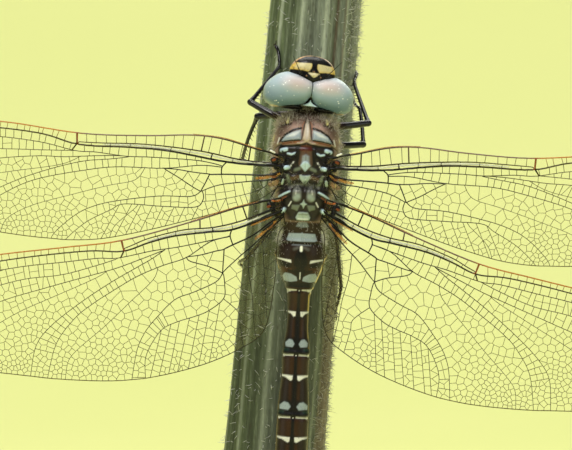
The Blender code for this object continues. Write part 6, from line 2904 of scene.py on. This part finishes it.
@dataclass(frozen=True)
class Fur:
    """One kind of hair: where it grows, how thickly, how long, and which way it lies.

    The box is in |x|, y and z of the frame that the skin is in, with soft sides. The lie is made of the
    skin's normal, the way back along -Y and the way down along -Z.
    """

    low: Triple
    high: Triple
    per_square: float
    length: Pair
    radius: float
    tint: Tint
    lie: Triple = (0.8, 0.5, 0.0)
    spread: float = 0.3
    soft: float = 0.3

    def density(self, points: Array) -> Array:
        """Hairs to the square millimetre at each point.

        Args:
            points: places, in the skin's frame.

        Returns:
            One density for each point.
        """
        amount = np.full(points.shape[:-1], self.per_square)
        for axis in range(3):
            value = np.abs(points[..., 0]) if axis == 0 else points[..., axis]
            amount = amount * ease(value, self.low[axis] - self.soft, self.low[axis])
            amount = amount * ease(value, self.high[axis] + self.soft, self.high[axis])
        return amount


TRUNK_FUR = (
    Fur((2.2, -0.8, -4.6), (9, 9.6, 1.5), 12, (0.35, 0.9), 0.018, Tint.HAIR, (0.9, 0.3, 0.1), 0.4),
    Fur((0.7, 7.4, 0.5), (9, 10, 5), 7, (0.15, 0.42), 0.014, Tint.HAIR, (0.6, 0.2, 0), 0.45),
    Fur((0, 9.6, -4), (9, 11, 4), 16, (0.3, 0.8), 0.017, Tint.HAIR, (0.8, -0.2, 0), 0.5),
    Fur((1.5, 9.1, -2.5), (9, 10.4, 2.2), 22, (0.5, 1.1), 0.02, Tint.HAIR, (0.9, -0.6, 0), 0.35),
    Fur((0, 9.4, -4), (9, 11, 4), 14, (0.3, 0.6), 0.02, Tint.DARK_HAIR, (0.8, -0.2, 0), 0.5),
    Fur((0.1, 2.9, 2), (2, 3.5, 5), 22, (0.3, 0.6), 0.026, Tint.BLACK, (0.7, 0.7, 0), 0.3),
    Fur((0.4, 2.8, 2), (2.6, 4.2, 5), 8, (0.3, 0.55), 0.014, Tint.HAIR, (0.9, 0.1, 0), 0.5),
    Fur((0, 0, -5), (3, 9, -2.4), 8, (0.4, 0.8), 0.018, Tint.HAIR, (0.8, 0.3, 0.2), 0.3),
)
RING_FUR = (
    Fur((1.95, -2.5, -1), (9, -0.7, 2.4), 40, (0.35, 0.7), 0.02, Tint.WHITE, (0.8, 0.4, 0), 0.3),
    Fur((0, -2.7, -5), (9, -0.5, 5), 7, (0.2, 0.45), 0.014, Tint.HAIR, (0.6, 0.7, 0), 0.35),
    Fur((1.2, -6.6, -5), (9, -2.7, 2.2), 6, (0.15, 0.35), 0.013, Tint.HAIR, (0.6, 0.8, 0), 0.3),
    Fur((0, -46, -5), (9, -2.7, 5), 7, (0.1, 0.2), 0.011, Tint.DARK_HAIR, (0.3, 1, 0), 0.2),
)
HEAD_FUR = (
    Fur((0, -2.2, -3.2), (4, -1.2, 2), 18, (0.35, 0.8), 0.017, Tint.HAIR, (0.7, 0.5, 0), 0.4),
    Fur((0, 0.9, 1.2), (2.4, 1.9, 3), 12, (0.15, 0.4), 0.014, Tint.DARK_HAIR, (0.9, -0.3, 0), 0.35),
    Fur((0, 1.9, 0), (2.6, 4, 3), 4, (0.15, 0.45), 0.013, Tint.DARK_HAIR, (0.9, -0.2, 0), 0.3),
    Fur((0, 0.5, -3.2), (2.6, 4, 0), 8, (0.3, 0.7), 0.014, Tint.DARK_HAIR, (0.8, 0, 0.5), 0.35),
)
STEM_FUR = Fur((0, -9, 0), (9, 9, 99), 5.5, (0.35, 1.1), 0.032, Tint.WHITE, (0.8, 0, 0), 0.45)


class Coat:
    """Hairs as solid tapered strands, each with its own patch on the skin's unwrap.

    The rings of a strand are a place along it and a share of its full thickness.
    """

    patch: float = 0.003
    limit: int = 11500
    least_rise: float = 0.25
    curl: float = 0.22
    droop: float = 0.12
    skin_share: float = 0.3
    rings: tuple[Pair, ...] = ((-0.08, 1.0), (0.35, 0.85), (0.7, 0.55))
    sideways: Triple = (0.31, 0.57, 0.76)

    def __init__(self, seed: int) -> None:
        """Starts an empty coat."""
        self.rng = np.random.default_rng(seed)
        self.strands: list[tuple[Array, ...]] = []

    def scattered(self, rows: Array, fur: Fur) -> tuple[Array, ...]:
        """Picks cells of a grid of points by the fur's density.

        Args:
            rows: closed rings of points.
            fur: the kind of hair.

        Returns:
            The ring and the place in the ring of each root, as decimal numbers.
        """
        along = np.diff(rows, axis=0)
        across = np.roll(rows, -1, axis=1) - rows
        area = np.linalg.norm(np.cross(along, across[:-1]), axis=-1)
        count = self.rng.poisson(area * fur.density(rows[:-1]))
        i, j = (np.repeat(part, count.ravel()) for part in np.indices(count.shape).reshape(2, -1))
        return i + self.rng.random(len(i)), j + self.rng.random(len(j))

    def on_trunk(self, trunk: Trunk, fur: Fur) -> Roots:
        """Roots on the trunk's skin.

        Args:
            trunk: the trunk.
            fur: the kind of hair.

        Returns:
            The roots.
        """
        i, j = self.scattered(trunk.rows, fur)
        a, b = i.astype(int), j.astype(int)
        after = (b + 1) % trunk.around
        s, t = (i - a)[:, None], (j - b)[:, None]
        colours = trunk.colours.reshape(trunk.rows.shape)

        def between(grid: Array) -> Array:
            """The grid's value at each root."""
            low = grid[a, b] * (1 - t) + grid[a, after] * t
            return low * (1 - s) + (grid[a + 1, b] * (1 - t) + grid[a + 1, after] * t) * s

        unwrap = np.column_stack([j / trunk.around, i / len(trunk.rows)])
        return Roots(between(trunk.rows), unit(between(trunk.facing)), between(colours), unwrap)

    def on_head(self, head: Head, fur: Fur) -> Roots:
        """Roots on the head's skin, unwrapped round the head's left-right axis.

        Args:
            head: the head.
            fur: the kind of hair.

        Returns:
            The roots.
        """
        points = head.skin_points
        count = self.rng.poisson(fur.density(points) * head.voxel**2)
        pick = np.repeat(np.arange(len(points)), count)
        places = points[pick] + self.rng.uniform(-0.02, 0.02, (len(pick), 3))
        turn = np.arctan2(places[:, 2], places[:, 1]) / math.tau + 0.5
        unwrap = np.column_stack([turn, places[:, 0] / 8 + 0.5])
        return Roots(places, unit(head.skin_facing[pick]), head.skin_colours[pick], unwrap)

    def on_stem(self, stem: Stem, fur: Fur) -> Roots:
        """Roots on the stem's skin, most of them on its brown side.

        Args:
            stem: the stem.
            fur: the kind of hair.

        Returns:
            The roots.
        """
        area = math.tau * (stem.foot_radius + stem.top_radius) / 2 * (stem.high - stem.low)
        count = int(area * fur.per_square)
        z = self.rng.uniform(stem.low + 0.6, stem.high - 0.4, count)
        turn = self.rng.uniform(0.0, math.tau, count)
        degrees = np.degrees((turn + math.pi) % math.tau - math.pi)
        side = 0.16 + 0.84 * ease(degrees, 38, 50) * ease(degrees, 125, 100)
        kept = self.rng.random(count) < side
        z, turn = z[kept], turn[kept]
        facing = stacked(np.sin(turn), -np.cos(turn), np.zeros_like(turn))
        unwrap = np.column_stack([turn / math.tau, (z - stem.low) / (stem.high - stem.low)])
        return Roots(stem.surface(z, turn), facing, stem.colours(z, turn), unwrap)

    def grow(self, roots: Roots, fur: Fur) -> None:
        """Grows one strand from each root.

        Args:
            roots: where they grow.
            fur: the kind of hair, whose colour takes a little of the skin's.
        """
        count = len(roots.places)
        stray = self.rng.normal(0.0, fur.spread, (count, 3))
        way = roots.facing * fur.lie[0] + np.array([0.0, -fur.lie[1], -fur.lie[2]]) + stray
        sunk = (way * roots.facing).sum(1, keepdims=True)
        way = unit(way + roots.facing * np.maximum(self.least_rise - sunk, 0.0))
        reach = self.rng.uniform(*fur.length, count) * self.rng.uniform(0.7, 1.0, count)
        curl = self.rng.normal(0.0, self.curl, (count, 3)) - roots.facing * self.droop
        colour = blend(fur.tint, roots.colours, self.skin_share)
        colour = colour * self.rng.uniform(0.75, 1.1, (count, 1))
        thick = np.full(count, fur.radius)
        self.strands.append((roots.places, way, reach, curl, thick, colour, roots.unwrap))

    def build(self, name: str, matrix: Matrix | None, finish: Material, slot: str) -> None:
        """Makes the strands, in as many pieces as keep each piece light.

        Args:
            name: the start of the pieces' names.
            matrix: the frame that the strands are in, or None for the world's.
            finish: their material.
            slot: the record's material slot.
        """
        joined = [np.concatenate(part) for part in zip(*self.strands)]
        order = self.rng.permutation(len(joined[0]))
        pieces = max(1, math.ceil(len(order) / self.limit))
        for number, chosen in enumerate(np.array_split(order, pieces), start=1):
            places, way, reach, curl, radius, colour, unwrap = (part[chosen] for part in joined)
            side = unit(np.cross(way, np.array(self.sideways)))
            over = np.cross(way, side)
            points, maps = [], []
            for t, thick in self.rings:
                centre = places + (way * t + curl * max(t, 0.0) ** 2) * reach[:, None]
                for k in range(3):
                    angle = math.tau * k / 3
                    out = side * math.cos(angle) + over * math.sin(angle)
                    points.append(centre + out * (radius * thick)[:, None])
                    maps.append(unwrap + self.patch * np.array([k / 3 - 0.33, t - 0.5]))
            points.append(places + (way + curl) * reach[:, None])
            maps.append(unwrap + self.patch * np.array([0.0, 0.5]))
            one = [(0, 2, 1), (6, 7, 9), (7, 8, 9), (8, 6, 9)]
            for low, high in ((0, 3), (3, 6)):
                one += [(low + k, low + (k + 1) % 3, high + (k + 1) % 3, high + k) for k in range(3)]
            draft = Draft()
            shift = np.arange(len(chosen))[:, None] * len(points)
            flat = np.stack(points, axis=1).reshape(-1, 3)
            shade = np.linspace(0.8, 1.1, len(points))[None, :, None]
            paint = (colour[:, None] * shade).reshape(-1, 3)
            draft.add(flat, [row for face in one for row in (shift + np.array(face)).tolist()], paint)
            draft.maps.append(np.clip(np.stack(maps, axis=1).reshape(-1, 2), 0.0, 1.0))
            draft.build(f"{name}_{number}", finish, matrix, slot)


def build_coats(trunk: Trunk, head: Head, stem: Stem, trunk_frame: Matrix, head_frame: Matrix) -> None:
    """The hairs of the insect and of the stem.

    Args:
        trunk: the trunk, with its skin made.
        head: the head, with its skin made.
        stem: the stem.
        trunk_frame: the trunk's frame.
        head_frame: the head's frame.
    """
    finish = HairFinish("hair").make()
    for seed, name, furs in ((5, "thorax_coat", TRUNK_FUR), (6, "abdomen_coat", RING_FUR)):
        coat = Coat(seed)
        for fur in furs:
            coat.grow(coat.on_trunk(trunk, fur), fur)
        coat.build(name, trunk_frame, finish, "skin")
    coat = Coat(7)
    for fur in HEAD_FUR:
        coat.grow(coat.on_head(head, fur), fur)
    coat.build("head_coat", head_frame, finish, "face")
    coat = Coat(8)
    coat.grow(coat.on_stem(stem, STEM_FUR), STEM_FUR)
    coat.build("stem_coat", None, HairFinish("stem_hair").make(), "stem")


def main() -> None:
    """Builds the studio and every part of the model."""
    logging.basicConfig(level=logging.INFO, format="%(name)s %(message)s")
    place = InsectFrame()
    trunk_frame, head_frame = place.trunk(), place.head()
    Studio().build()
    trunk = Trunk()
    trunk.build(trunk_frame)
    TailParts().build(trunk_frame)
    head = Head()
    head.build(head_frame)
    build_wings(trunk_frame)
    build_roots(trunk, trunk_frame)
    stem = Stem()
    stem.build()
    build_legs(stem)
    build_coats(trunk, head, stem, trunk_frame, head_frame)
    Stand().build()


if __name__ == "__main__":
    main()
